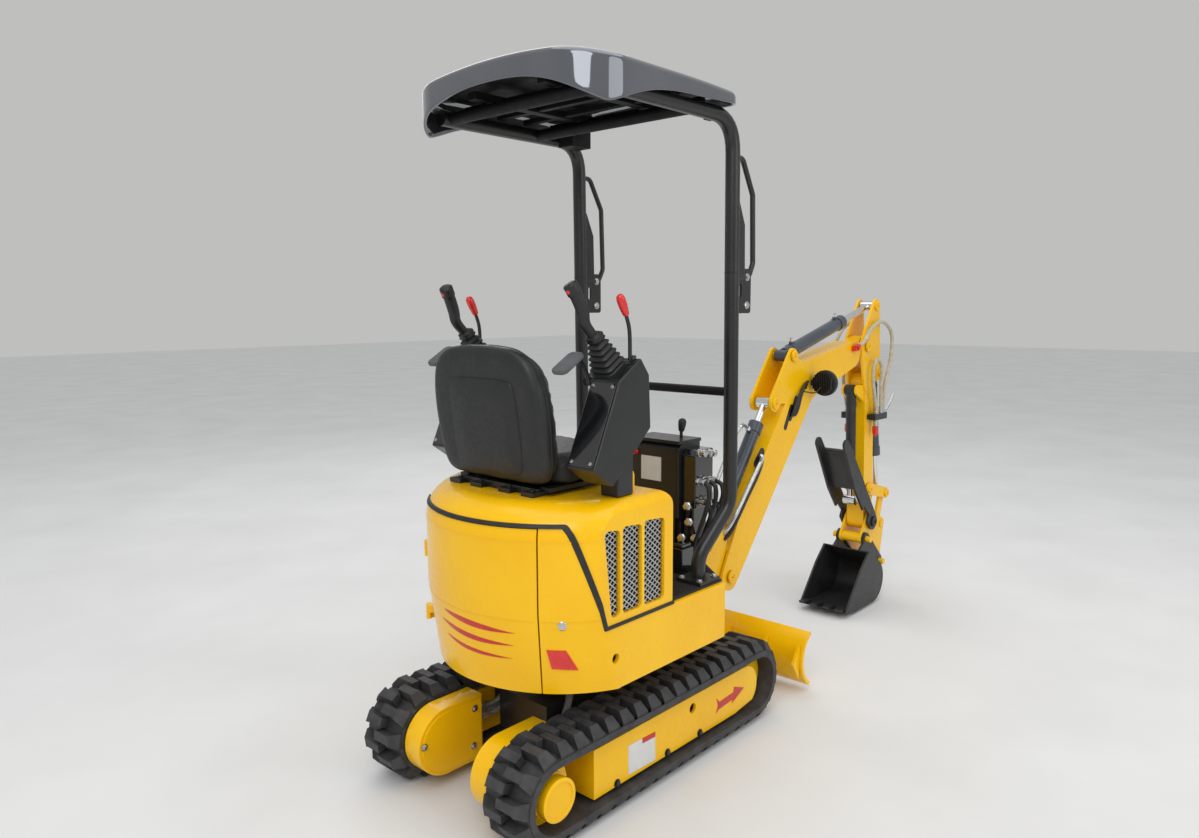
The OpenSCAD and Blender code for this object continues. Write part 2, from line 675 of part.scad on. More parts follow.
// The domed solid of the roof, drawn inset by a wall thickness
module canopy_dome(inset) {
    intersection() {
        translate([0, 0, canopy_skirt - inset]) linear_extrude(200) canopy_outline(inset);
        translate([canopy_dome_x, 0, canopy_z - canopy_dome_r]) sphere(r = canopy_dome_r - inset, $fn = 200);
    }
}
module canopy() placed() color(black) difference() {
    canopy_dome(0);
    difference() {
        canopy_dome(canopy_t);
        for (x = canopy_rib_x) translate([x, -canopy_y, canopy_ceiling])
            cube([canopy_rib_w, 2 * canopy_y, canopy_z - canopy_ceiling]);
    }
    wave = arc_points([0, canopy_front_z - canopy_wave_r], canopy_wave_r, 132, 90, 10);
    across(-canopy_y - 1, canopy_y + 1)
        polygon(concat(wave, [[canopy_x[1] + 1, canopy_front_z], [canopy_x[1] + 1, wave[0][1]]]));
    translate([canopy_x[0] - 1, 0, 0]) rotate([90, 0, 90]) linear_extrude(250)
        polygon(arc_points([0, canopy_rear_z - canopy_arch_r], canopy_arch_r, 126, 54, 12));
}

/* Boom */
boom_knee = [947, 628];
boom_nose = [1835, 1267];
boom_cyl_base = [762, 604];
boom_cyl_eye = [1122, 1090];
arm_cyl_base = [1262, 1283];
arm_cyl_eye = [2075, 1495];
bracket_w = boom_w - 2 * plate_t - 2 * gap;
bracket_low = swing_low[1] + 2;
bracket_high = swing_high[0] - 2;
module swing_bracket() placed() color(yellow) difference() {
    union() {
        translate([swing_x, 0, bracket_low]) cylinder(h = bracket_high - bracket_low, r = swing_lug_r - 2);
        translate([swing_x, 0, house_z + 4]) cylinder(h = swing_high[1] - house_z - 8, r = swing_pin_r);
        across(-bracket_w / 2, bracket_w / 2) polygon([[swing_x, bracket_low],
            [swing_x + swing_lug_r + 8, bracket_low], [760, bracket_low - 60], [800, bracket_low - 65],
            [860, 410], [840, 470], [780, bracket_high], [swing_x, bracket_high]]);
        both_sides() across(26, bracket_w / 2) polygon(band(boom_cyl_base, 30, [735, 500], 60));
        bar(boom_cyl_base, pin_r, -bracket_w / 2, bracket_w / 2);
    }
    bar(boom_foot, pin_r + 1 + fit, -100, 100);
}
module side_outline() {
    polygon(band(boom_foot, 58, boom_knee, 86));
    polygon(band(boom_knee, 86, boom_elbow, 90));
    polygon(band(boom_elbow, 90, boom_nose, 62));
    polygon(band(boom_cyl_eye, 38, arm_cyl_base, 34));
    polygon(concat([boom_cyl_eye, arm_cyl_base], [boom_elbow + [60, 60], boom_elbow + [-60, -100]]));
}
module core_outline(inset) {
    polygon(band(boom_knee, 86 - inset, boom_elbow, 90 - inset));
    polygon(band(boom_elbow, 90 - inset, boom_nose, 62 - inset));
}
nose_w = 66;
module boom() placed() color(yellow) difference() {
    union() {
        both_sides() across(boom_w / 2 - plate_t, boom_w / 2) side_outline();
        across(-boom_w / 2 + plate_t, boom_w / 2 - plate_t) difference() {
            core_outline(0);
            core_outline(wall);
        }
        across(-nose_w / 2, nose_w / 2) polygon(band(boom_nose - [60, 13], 50, arm_pivot, 50));
        bar(boom_foot, pin_r + 1, -boom_w / 2 - 6, boom_w / 2 + 6);
        bar(arm_cyl_base, pin_r, -boom_w / 2 - 4, boom_w / 2 + 4);
    }
    bar(arm_pivot, pin_r + 1 + fit, -100, 100);
    across(-24, 24) polygon(band(boom_knee, 50, boom_foot, 50));
}
lamp_at = [1462, 1150];
module work_lamp() placed() color(black) union() {
    bar(lamp_at, 50, -boom_w / 2 - 50, -boom_w / 2 - 6);
    bar(lamp_at, 14, -boom_w / 2 - 8, -boom_w / 2);
}
module boom_pipes() placed() color(steel) union() {
    for (k = [0, 1]) stick([1480, boom_w / 2 + 12, 1215 - 26 * k], [1860, boom_w / 2 + 12, 1290 - 26 * k], 8);
    for (x = [1540, 1790]) translate([x, boom_w / 2, 1192 + (x - 1480) * 75 / 380]) cube([26, 16, 32]);
}
boom_barrel_len = 500;
module boom_cylinder_barrel() placed() color(cylinder_blue)
    barrel(boom_cyl_base, boom_cyl_eye, boom_barrel_len, 28, 16, 50);
module boom_cylinder_rod() placed() color("silver") piston_rod(boom_cyl_base, boom_cyl_eye, 420, 16, 60);

/* Arm and bucket */
bucket_cyl_base = [2140, 1160];
rocker_pivot = [2050, 575];
rocker_eye = [2240, 525];
link_eye = [2190, 372];
thumb_cyl_base = [1924, 1085];
thumb_cyl_eye = [1952, 528];
arm_plate = [nose_w / 2 + gap, nose_w / 2 + gap + plate_t];
module arm() placed() color(yellow) difference() {
    union() {
        both_sides() across(arm_plate[0], arm_plate[1]) {
            polygon(band(arm_pivot, 62, arm_cyl_eye, 34));
            polygon(band(arm_pivot, 62, [2026, 1120], 60));
            polygon(band(arm_cyl_eye, 34, [2075, 1200], 60));
            polygon(band([2050, 1180], 70, bucket_cyl_base, 32));
        }
        difference() {
            across(-arm_w / 2, arm_w / 2) polygon(band([2030, 1110], arm_depth / 2, arm_end, 45));
            across(-arm_w / 2 + wall, arm_w / 2 - wall)
                polygon(band([2030, 1110], arm_depth / 2 - wall, [2052, 500], 36));
        }
        both_sides() across(28, 40) polygon(band(thumb_cyl_base, 26, [2000, 1060], 40));
        bar(thumb_cyl_base, pin_r, -40, 40);
        bar(bucket_cyl_base, pin_r, -arm_plate[1], arm_plate[1]);
        bar(arm_pivot, pin_r + 1, -arm_plate[1] - 5, arm_plate[1] + 5);
        bar(rocker_pivot, pin_r, -64, 64);
        bar(arm_end, pin_r, -thumb_w / 2 - 4, thumb_w / 2 + 4);
    }
}
module aux_couplers() placed() both_sides() color(black) union() {
    translate([2000, arm_w / 2, 1010]) cube([60, 46, 34]);
    translate([2030, arm_w / 2 + 26, 925]) cylinder(h = 90, r = 12);
}
module aux_hoses() placed() color("#b9b39f") both_sides() for (k = [0, 1])
    tube([[1925, 66, 1290 + 24 * k], [1990, 64 + 8 * k, 1400 + 26 * k],
        [2080 + 20 * k, 66 + 10 * k, 1400 + 20 * k], [2095 + 30 * k, 66 + 10 * k, 1250],
        [2045 + 20 * k, 66 + 4 * k, 1046]], 9);
arm_barrel_len = 545;
module arm_cylinder_barrel() placed() color(cylinder_blue)
    barrel(arm_cyl_base, arm_cyl_eye, arm_barrel_len, 30, 16, 60);
module arm_cylinder_rod() placed() color("silver") piston_rod(arm_cyl_base, arm_cyl_eye, 430, 16, 64);
bucket_barrel_len = 440;
module bucket_cylinder_barrel() placed() color(cylinder_blue)
    barrel(bucket_cyl_base, rocker_eye, bucket_barrel_len, 27, 14, 60);
module bucket_cylinder_rod() placed() color("silver") piston_rod(bucket_cyl_base, rocker_eye, 370, 14, 38);
rocker_y = [arm_w / 2 + gap, arm_w / 2 + gap + plate_t];
link_y = [24, 38];
module rocker() placed() both_sides() color(yellow) difference() {
    union() {
        across(rocker_y[0], rocker_y[1]) polygon(band(rocker_pivot, 30, rocker_eye, 28));
        bar(rocker_eye, pin_r, link_y[0], rocker_y[0]);
    }
    bar(rocker_pivot, pin_r + fit, 0, 100);
}
module bucket_link() placed() color(yellow) difference() {
    union() {
        both_sides() across(link_y[0], link_y[1]) polygon(band(rocker_eye, 26, link_eye, 24));
        bar(link_eye, 24, -link_y[1], link_y[1]);
    }
    both_sides() bar(rocker_eye, pin_r + fit, link_y[0] - 1, link_y[1] + 1);
}
hitch_y = [arm_w / 2 + gap, arm_w / 2 + gap + plate_t];
hitch_pin_front = [1990, 330];
hitch_pin_rear = [2150, 182];
module hitch() placed() color(yellow) difference() {
    union() {
        both_sides() across(hitch_y[0], hitch_y[1]) {
            polygon(band(arm_end, 44, link_eye, 32));
            polygon(band(arm_end, 44, hitch_pin_front, 30));
            polygon(band(link_eye, 32, hitch_pin_rear, 30));
            polygon([arm_end, link_eye, hitch_pin_rear, hitch_pin_front]);
        }
        bar(hitch_pin_front, 26, -hitch_y[1], hitch_y[1]);
        bar(hitch_pin_rear, 26, -hitch_y[1], hitch_y[1]);
        both_sides() bar(link_eye, 20, hitch_y[1], hitch_y[1] + 6);
        bar(hitch_pin_front, pin_r, -100, 100);
        bar(hitch_pin_rear, pin_r, -100, 100);
    }
    both_sides() bar(arm_end, pin_r + fit, hitch_y[0] - 1, hitch_y[1] + 1);
}
bucket_lip = [1690, 30];
bucket_heel = [1985, 122];
bucket_heel_r = 108;
bucket_mouth = [1925, 286];
tooth_pitch = 64;
tooth_w = 32;
ear_y = [hitch_y[1] + gap, hitch_y[1] + gap + plate_t];
ear_r = 32;
bucket_t = 14;
// Side view of the bucket's curved sheet, moved inward by d
function bucket_skin(d) = concat([bucket_lip + [0, d / 3], [1790, 14 + d]],
    arc_points(bucket_heel, bucket_heel_r - d, -95, 50, 14), [bucket_mouth - [0, d / 2]]);
function backward(list) = [for (i = [len(list) - 1:-1:0]) list[i]];
module bucket() placed() color(black) difference() {
    union() {
        across(-bucket_w / 2, bucket_w / 2) polygon(concat(bucket_skin(0), backward(bucket_skin(bucket_t))));
        both_sides() across(bucket_w / 2 - wall, bucket_w / 2) polygon(concat(bucket_skin(0), [[1840, 210]]));
        both_sides() across(ear_y[0], ear_y[1]) {
            polygon(band(hitch_pin_front, ear_r, hitch_pin_rear, ear_r));
            polygon([hitch_pin_front, hitch_pin_rear, bucket_heel + [80, 60], bucket_mouth]);
        }
        for (i = [-1.5:1:1.5]) across(i * tooth_pitch - tooth_w / 2, i * tooth_pitch + tooth_w / 2)
            polygon([[1730, 20], [1664, 40], [1660, 52], [1735, 46]]);
    }
    both_sides() for (p = [hitch_pin_front, hitch_pin_rear]) bar(p, pin_r + fit, ear_y[0] - 1, ear_y[1] + 1);
}
thumb_tip = [1742, 838];
// Largest closing turn of the thumb, and the room that it leaves to the bucket's ears
thumb_turn = 70;
thumb_room = 6;
ear_reach = norm(hitch_pin_front - arm_end);
ear_angle = heading(hitch_pin_front - arm_end);
thumb_y = [hitch_y[1] + 2 * gap, thumb_w / 2];
module thumb() placed() color(black) difference() {
    union() {
        both_sides() across(thumb_y[0], thumb_y[1]) {
            polygon(band(arm_end, 42, [1890, 620], 46));
            polygon(band([1890, 620], 46, thumb_tip, 26));
        }
        bar([1800, 790], 16, -thumb_y[1], thumb_y[1]);
        across(-thumb_y[0], thumb_y[0]) polygon([[1792, 780], [1806, 792], [1896, 604], [1884, 596]]);
    }
    both_sides() bar(arm_end, pin_r + fit, thumb_y[0] - 1, thumb_y[1] + 1);
    both_sides() across(thumb_y[0] - 1, thumb_y[1] + 1) ear_path();
}
// Ring sector about the arm's lower pin that the bucket's ear sweeps when the thumb closes
module ear_path() {
    half = asin((ear_r + thumb_room) / ear_reach);
    from = ear_angle - thumb_turn - half;
    polygon(concat(arc_points(arm_end, ear_reach - ear_r - thumb_room, from, ear_angle, 8),
        arc_points(arm_end, ear_reach + ear_r + thumb_room, ear_angle, from, 8)));
}
thumb_barrel_len = 440;
module thumb_cylinder_barrel() placed() color(black)
    barrel(thumb_cyl_base, thumb_cyl_eye, thumb_barrel_len, 24, 13, 50);
module thumb_cylinder_rod() placed() color("silver") piston_rod(thumb_cyl_base, thumb_cyl_eye, 330, 13, 60);

centre_frame();
track_frame_right();
track_frame_left();
track_right();
track_left();
running_gear();
motor_guards();
slew_ring();
travel_hoses();
blade();
blade_cylinder_barrel();
blade_cylinder_rod();
deck();
floor_mat();
side_panels();
tail_cowl();
rear_door();
hood();
grilles();
trim();
engine_block();
seat_base();
seat_cushion();
seat_back();
consoles();
joysticks();
levers();
armrests();
front_console();
canopy_posts();
canopy_frame();
grab_handles();
canopy();
swing_bracket();
boom();
work_lamp();
boom_pipes();
boom_cylinder_barrel();
boom_cylinder_rod();
arm();
aux_couplers();
aux_hoses();
arm_cylinder_barrel();
arm_cylinder_rod();
bucket_cylinder_barrel();
bucket_cylinder_rod();
rocker();
bucket_link();
hitch();
bucket();
thumb();
thumb_cylinder_barrel();
thumb_cylinder_rod();
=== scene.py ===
from math import cos, hypot, pi, radians, sin, sqrt, tan

import bmesh
import bpy
from mathutils import Matrix, Vector


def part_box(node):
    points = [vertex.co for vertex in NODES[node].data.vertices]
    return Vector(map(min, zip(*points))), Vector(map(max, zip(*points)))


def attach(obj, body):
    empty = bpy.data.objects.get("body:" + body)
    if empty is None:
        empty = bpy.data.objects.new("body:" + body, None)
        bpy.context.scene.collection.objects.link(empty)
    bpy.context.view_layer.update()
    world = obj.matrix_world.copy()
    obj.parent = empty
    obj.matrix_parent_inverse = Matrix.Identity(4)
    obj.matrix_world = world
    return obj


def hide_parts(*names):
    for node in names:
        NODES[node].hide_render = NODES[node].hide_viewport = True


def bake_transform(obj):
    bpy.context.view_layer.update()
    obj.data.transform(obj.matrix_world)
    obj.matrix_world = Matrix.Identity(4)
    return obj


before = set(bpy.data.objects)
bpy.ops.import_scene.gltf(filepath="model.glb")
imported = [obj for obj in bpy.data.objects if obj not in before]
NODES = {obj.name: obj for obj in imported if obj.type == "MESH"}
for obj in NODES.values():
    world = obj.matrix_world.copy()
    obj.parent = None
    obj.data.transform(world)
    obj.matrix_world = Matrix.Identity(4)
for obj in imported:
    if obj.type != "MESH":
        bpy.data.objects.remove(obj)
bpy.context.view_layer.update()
SCENE = bpy.context.scene
MM = 1000  # millimetres in a metre
SLEW_X = sum(corner.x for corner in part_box("slew_ring")) * MM / 2  # the slew axis in the row frame, in mm
TAU = 2 * pi
SIDES = (-1, 1)  # right and left


def P(x, y, z):
    """A point, in mm from the slew axis, as metres in the row frame."""
    return Vector(((x + SLEW_X) / MM, y / MM, z / MM))


# materials
NOISE_SPAN = (0.3, 0.7)
# the tint of the painted shade that ambient occlusion lays in corners, and how far it reaches
SHADE_TINT = (0.35, 0.33, 0.3)
SHADE_REACH = 0.03


def set_inputs(node, **values):
    """Sets a node's inputs; an underscore stands for a blank."""
    for name, value in values.items():
        node.inputs[name.replace("_", " ")].default_value = value
    return node


def material(name, dark, light, rough=(0.35, 0.5), scale=8.0, metal=0.0, coat=0.0, bump=None, cells=False,
             painted_shade=0.0, specular=0.5):
    """A procedural finish: two tones and two roughnesses mixed by noise, a fine bump (its strength and its scale, of
    noise or of cells), and painted shade: the corners darkened by ambient occlusion."""
    m = bpy.data.materials.new(name)
    m.use_nodes = True
    nodes, link = m.node_tree.nodes, m.node_tree.links.new
    shader = nodes["Principled BSDF"]
    coord = nodes.new("ShaderNodeTexCoord").outputs["Object"]

    def add(kind, source=None, **values):
        """A new node, with a source linked to its first input."""
        node = set_inputs(nodes.new("ShaderNode" + kind), **values)
        if source is not None:
            link(source, node.inputs[0])
        return node

    noise = add("TexNoise", coord, Scale=scale, Detail=7)
    ramp = add("ValToRGB", noise.outputs["Fac"])
    for stop, position, tone in zip(ramp.color_ramp.elements, NOISE_SPAN, (dark, light)):
        stop.position = position
        stop.color = (*tone, 1)
    colour = ramp.outputs["Color"]
    # painted shade: corners and recesses darkened by ambient occlusion
    if painted_shade:
        ao = add("AmbientOcclusion", Distance=SHADE_REACH)
        ao.samples = 4
        unshaded = add("MapRange", ao.outputs["AO"], From_Min=0.25, From_Max=0.75, To_Min=1 - painted_shade)
        mix = nodes.new("ShaderNodeMix")
        mix.data_type = "RGBA"
        mix.inputs["A"].default_value = (*(tone * share for tone, share in zip(dark, SHADE_TINT)), 1)
        link(unshaded.outputs["Result"], mix.inputs["Factor"])
        link(colour, mix.inputs["B"])
        colour = mix.outputs["Result"]
    link(colour, shader.inputs["Base Color"])
    fine = add("TexNoise", coord, Scale=scale * 5, Detail=4)
    spread = add("MapRange", fine.outputs["Fac"], From_Min=NOISE_SPAN[0], From_Max=NOISE_SPAN[1],
                 To_Min=rough[0], To_Max=rough[1])
    link(spread.outputs["Result"], shader.inputs["Roughness"])
    set_inputs(shader, Metallic=metal, Coat_Weight=coat, Coat_Roughness=0.08, Specular_IOR_Level=specular)
    if bump:
        if cells:
            height = add("TexVoronoi", coord, Scale=bump[1]).outputs["Distance"]
        else:
            height = add("TexNoise", coord, Scale=bump[1], Detail=3).outputs["Fac"]
        relief = add("Bump", Strength=bump[0], Distance=0.001)
        link(height, relief.inputs["Height"])
        link(relief.outputs["Normal"], shader.inputs["Normal"])
    return m


# yellow enamel, track rubber and cylinder paint take painted shade in their corners
YELLOW = material("yellow_enamel", (0.93, 0.5, 0.0012), (0.98, 0.56, 0.002), (0.2, 0.3), 5, coat=0.22,
                  bump=(0.06, 260), painted_shade=0.4, specular=0.28)
SATIN = material("satin_black", (0.008, 0.0085, 0.0095), (0.014, 0.0145, 0.0155), (0.3, 0.42), 9, coat=0.15,
                 bump=(0.1, 500))
# painted reflection: the roof is gloss black, drawn as a lighter, bluish metallic grey that stands in for the sky it
# reflects
ROOF_SHEEN = material("roof_painted_sheen", (0.13, 0.14, 0.16), (0.16, 0.17, 0.195), (0.04, 0.09), 4, metal=0.7, coat=1.0)
# painted shade: a near-black, duller copy of the satin black, for the roof's underside and rails and the backs of the
# grilles
SHADE_BLACK = material("painted_shade_black", (0.004, 0.004, 0.0045), (0.007, 0.007, 0.0075), (0.5, 0.65), 9, bump=(0.1, 300),
                     specular=0.25)
GLOSS = material("gloss_black", (0.006, 0.0065, 0.008), (0.009, 0.0095, 0.011), (0.05, 0.1), 4, coat=0.8)
RUBBER = material("track_rubber", (0.026, 0.026, 0.028), (0.055, 0.055, 0.058), (0.5, 0.72), 30, bump=(0.5, 180),
                  painted_shade=0.3)
MAT_RUBBER = material("mat_rubber", (0.012, 0.012, 0.013), (0.022, 0.022, 0.023), (0.5, 0.65), 40, bump=(0.3, 400))
VINYL = material("seat_vinyl", (0.009, 0.009, 0.0095), (0.014, 0.014, 0.0145), (0.38, 0.5), 12, bump=(0.35, 700),
                 cells=True)
PLASTIC = material("moulded_plastic", (0.009, 0.0095, 0.0105), (0.015, 0.0155, 0.017), (0.4, 0.55), 14,
                   bump=(0.2, 900))
GREY = material("grey_foam", (0.07, 0.075, 0.082), (0.1, 0.105, 0.112), (0.55, 0.7), 20, bump=(0.3, 600))
ZINC = material("zinc", (0.5, 0.5, 0.5), (0.7, 0.69, 0.66), (0.22, 0.38), 60, metal=1.0)
CHROME = material("hard_chrome", (0.72, 0.73, 0.75), (0.8, 0.8, 0.82), (0.08, 0.16), 40, metal=1.0)
STEEL = material("plain_steel", (0.28, 0.285, 0.29), (0.42, 0.42, 0.42), (0.3, 0.45), 50, metal=1.0)
BLUE_GREY = material("cylinder_paint", (0.035, 0.047, 0.062), (0.052, 0.067, 0.085), (0.25, 0.36), 10, coat=0.3,
                     bump=(0.08, 300), painted_shade=0.3)
BUCKET_BLACK = material("bucket_black", (0.014, 0.0145, 0.016), (0.028, 0.029, 0.031), (0.32, 0.5), 16,
                        bump=(0.15, 350))
RED = material("red_decal", (0.5, 0.006, 0.004), (0.6, 0.012, 0.008), (0.25, 0.35), 20, coat=0.3)
RED_KNOB = material("red_knob", (0.62, 0.012, 0.01), (0.75, 0.025, 0.018), (0.2, 0.3), 30, coat=0.5)
HOSE = material("hose_cover", (0.4, 0.36, 0.27), (0.56, 0.52, 0.41), (0.4, 0.55), 60, bump=(0.3, 800))
BRAID = material("braided_steel", (0.16, 0.165, 0.17), (0.5, 0.5, 0.49), (0.3, 0.5), 260, metal=0.8, bump=(0.8, 900),
                 cells=True)
BLACK_HOSE = material("black_hose", (0.012, 0.012, 0.013), (0.022, 0.022, 0.023), (0.4, 0.5), 60, bump=(0.2, 300))
IRON = material("cast_iron", (0.02, 0.02, 0.021), (0.045, 0.044, 0.042), (0.5, 0.7), 25, bump=(0.4, 300))
LENS = material("lamp_glass", (0.6, 0.62, 0.65), (0.75, 0.76, 0.78), (0.05, 0.12), 20, coat=1.0)
WHITE = material("white_film", (0.66, 0.66, 0.65), (0.74, 0.74, 0.73), (0.3, 0.4), 30)

FINISH = {
    YELLOW: "track_frame_right track_frame_left running_gear motor_guards blade deck side_panels tail_cowl rear_door "
            "hood grilles swing_bracket boom arm rocker bucket_link hitch",
    SATIN: "centre_frame consoles front_console seat_base canopy_posts canopy_frame grab_handles aux_couplers",
    RUBBER: "track_right track_left",
    MAT_RUBBER: "floor_mat trim",
    STEEL: "slew_ring boom_pipes",
    BRAID: "travel_hoses",
    IRON: "engine_block",
    VINYL: "seat_cushion seat_back",
    PLASTIC: "joysticks armrests work_lamp levers",
    GLOSS: "canopy",
    HOSE: "aux_hoses",
    BUCKET_BLACK: "bucket thumb thumb_cylinder_barrel",
    BLUE_GREY: "blade_cylinder_barrel boom_cylinder_barrel arm_cylinder_barrel bucket_cylinder_barrel",
    CHROME: "blade_cylinder_rod boom_cylinder_rod arm_cylinder_rod bucket_cylinder_rod thumb_cylinder_rod",
}
ROUND = {"track_right": 0.004, "track_left": 0.004, "grilles": 0.0, "canopy": 0.003, "boom": 0.003, "arm": 0.003,
         "blade": 0.0025, "trim": 0.0045}
ROUND_ELSE = 0.002
BEVEL_ANGLE = 40


def bevel_edges(obj, width):
    edge = obj.modifiers.new("bevel", "BEVEL")
    edge.width = width
    edge.segments = 2
    edge.limit_method = "ANGLE"
    edge.angle_limit = radians(BEVEL_ANGLE)
    return edge


def soften(node, width):
    """Welds a CAD node's faces and rounds its sharp edges, by modifiers alone."""
    weld = node.modifiers.new("weld", "WELD")
    weld.merge_threshold = 0.00002
    flat = node.modifiers.new("flat", "DECIMATE")
    flat.decimate_type = "DISSOLVE"
    flat.angle_limit = radians(0.4)
    if width:
        bevel_edges(node, width).miter_outer = "MITER_ARC"
    normal = node.modifiers.new("normal", "WEIGHTED_NORMAL")
    normal.keep_sharp = False


for finish, names in FINISH.items():
    for name in names.split():
        NODES[name].material_slots[0].material = finish
        soften(NODES[name], ROUND.get(name, ROUND_ELSE))


# camera, light, floor
def add_object(name, data):
    obj = bpy.data.objects.new(name, data)
    SCENE.collection.objects.link(obj)
    return obj


PHOTO_FOCAL = 879.3
PHOTO_WIDTH = 1199
SENSOR = 36.0
CAMERA_AT = (-2114.9, -1979.4, 1500)
camera_data = bpy.data.cameras.new("camera")
camera_data.sensor_width = SENSOR
camera_data.lens = PHOTO_FOCAL / PHOTO_WIDTH * SENSOR
camera = add_object("camera", camera_data)
yaw, pitch, roll = (radians(a) for a in (42.15, 7.32, -0.224))
ahead = Vector((cos(yaw) * cos(pitch), sin(yaw) * cos(pitch), -sin(pitch)))
level = Vector((sin(yaw), -cos(yaw), 0))
upward = level.cross(ahead)
side = level * cos(roll) + upward * sin(roll)
top = side.cross(ahead)
turn = Matrix((side, top, -ahead)).transposed().to_4x4()
camera.matrix_world = Matrix.Translation(P(*CAMERA_AT)) @ turn
SCENE.camera = camera

PALE = (0.52, 0.52, 0.515)
world = bpy.data.worlds.new("studio")
SCENE.world = world
world.use_nodes = True
wn, wl = world.node_tree.nodes, world.node_tree.links.new
sky = set_inputs(wn["Background"], Color=(0.97, 0.985, 1.0, 1), Strength=0.62)
seen = set_inputs(wn.new("ShaderNodeBackground"), Color=(*PALE, 1), Strength=1.0)
path = wn.new("ShaderNodeLightPath")
choose = wn.new("ShaderNodeMixShader")
shown = path.outputs["Is Camera Ray"]
for kind in ("Is Glossy Ray", "Is Transmission Ray"):
    either = wn.new("ShaderNodeMath")
    either.operation = "MAXIMUM"
    wl(shown, either.inputs[0])
    wl(path.outputs[kind], either.inputs[1])
    shown = either.outputs["Value"]
wl(shown, choose.inputs["Fac"])
wl(sky.outputs["Background"], choose.inputs[1])
wl(seen.outputs["Background"], choose.inputs[2])
wl(choose.outputs["Shader"], wn["World Output"].inputs["Surface"])


def lamp(name, where, aim, size, power):
    """A round lamp that faces a point; its size is in metres, its power in watts."""
    data = bpy.data.lights.new(name, "AREA")
    data.shape = "DISK"
    data.size = size
    data.energy = power
    obj = add_object(name, data)
    obj.location = where
    obj.rotation_mode = "QUATERNION"
    obj.rotation_quaternion = (Vector(aim) - Vector(where)).to_track_quat("-Z", "Y")


lamp("overhead", (-0.5, -0.5, 7.0), (0, 0, 0.5), 8.0, 165)
lamp("key", (-4.5, -2.5, 4.2), (0, 0, 0.9), 3.5, 95)
lamp("fill", (0.5, -5.5, 3.0), (0, 0, 0.8), 3.5, 45)
lamp("rim", (2.5, 4.5, 4.5), (0, 0, 1.0), 3.5, 40)

floor_mesh = bpy.data.meshes.new("floor")
FLOOR_REACH = 30.0
corners = [(sx * FLOOR_REACH, sy * FLOOR_REACH, 0) for sx, sy in ((-1, -1), (1, -1), (1, 1), (-1, 1))]
floor_mesh.from_pydata(corners, [], [(0, 1, 2, 3)])
floor = add_object("floor", floor_mesh)
floor_mesh.materials.append(material("pale_floor", (0.72, 0.72, 0.71), (0.78, 0.78, 0.77), (0.7, 0.85), 1.5,
                                     bump=(0.1, 60)))


# shapes
def meshes(n):
    return [bmesh.new() for _ in range(n)]


def orient(axis):
    """A turn that takes +Z to the given direction."""
    return Vector(axis).normalized().to_track_quat("Z", "Y").to_matrix().to_4x4()


def lathe(bm, profile, at, axis=(0, 0, 1), n=32, spin=0.0):
    """Turns a profile of (radius, height) pairs in mm about an axis."""
    place = Matrix.Translation(at) @ orient(axis) @ Matrix.Rotation(spin, 4, "Z")
    rings = []
    for r, h in profile:
        if r < 1e-6:
            rings.append([bm.verts.new(place @ Vector((0, 0, h / MM)))])
        else:
            circle = [(r / MM * cos(TAU * i / n), r / MM * sin(TAU * i / n)) for i in range(n)]
            rings.append([bm.verts.new(place @ Vector((u, v, h / MM))) for u, v in circle])
    skin(bm, rings)


def skin(bm, rings, closed=True):
    """Joins rings of points by faces; a ring of one point is a pole."""
    for a, b in zip(rings, rings[1:]):
        n = max(len(a), len(b))
        for i in range(n if closed else n - 1):
            j = (i + 1) % n
            loop = []
            for v in (a[i % len(a)], a[j % len(a)], b[j % len(b)], b[i % len(b)]):
                if v not in loop:
                    loop.append(v)
            if len(loop) > 2:
                bm.faces.new(loop)


def loft(bm, rings):
    """Joins rings of points by faces and closes both ends."""
    skin(bm, rings)
    bm.faces.new(rings[0])
    bm.faces.new(rings[-1])


def catmull(a, b, c, d, t):
    """A point of the Catmull-Rom curve from b to c."""
    return 0.5 * (2 * b + (c - a) * t + (2 * a - 5 * b + 4 * c - d) * t * t + (3 * b - a - 3 * c + d) * t ** 3)


def smooth_path(points, per=8):
    """A smooth curve through points."""
    pts = [Vector(p) for p in points]
    ends = [pts[0] * 2 - pts[1], *pts, pts[-1] * 2 - pts[-2]]
    out = []
    for four in zip(ends, ends[1:], ends[2:], ends[3:]):
        out += [catmull(*four, k / per) for k in range(per)]
    return [*out, pts[-1]]


def tube(bm, points, radius, n=12):
    """A tube along points; its radius, in mm, is one value or one for each."""
    pts = [Vector(p) for p in points]
    radii = radius if isinstance(radius, (list, tuple)) else [radius] * len(pts)
    ahead = [(b - a).normalized() for a, b in zip(pts, pts[1:])]
    ahead = [ahead[0], *[(a + b).normalized() for a, b in zip(ahead, ahead[1:])], ahead[-1]]
    across = ahead[0].orthogonal().normalized()
    rings = []
    for p, d, r in zip(pts, ahead, radii):
        across = (across - d * across.dot(d)).normalized()
        other = d.cross(across)
        rings.append([bm.verts.new(p + (across * cos(TAU * i / n) + other * sin(TAU * i / n)) * r / MM)
                      for i in range(n)])
    skin(bm, rings)
    bm.faces.new(rings[0][::-1])
    bm.faces.new(rings[-1])


def hose(bm, points, radius, n=12, per=8):
    """A tube along a smooth curve through points in mm."""
    tube(bm, smooth_path([P(*p) for p in points], per), radius, n)


def wall(bm, a, b):
    """A solid between two rings of points."""
    skin(bm, [a, b])
    bm.faces.new(a[::-1])
    bm.faces.new(b)


def prism(bm, outline, y0, y1):
    """An outline of (x, z) pairs in mm, drawn across the machine from y0 to y1."""
    wall(bm, *([bm.verts.new(P(x, y, z)) for x, z in outline] for y in (y0, y1)))


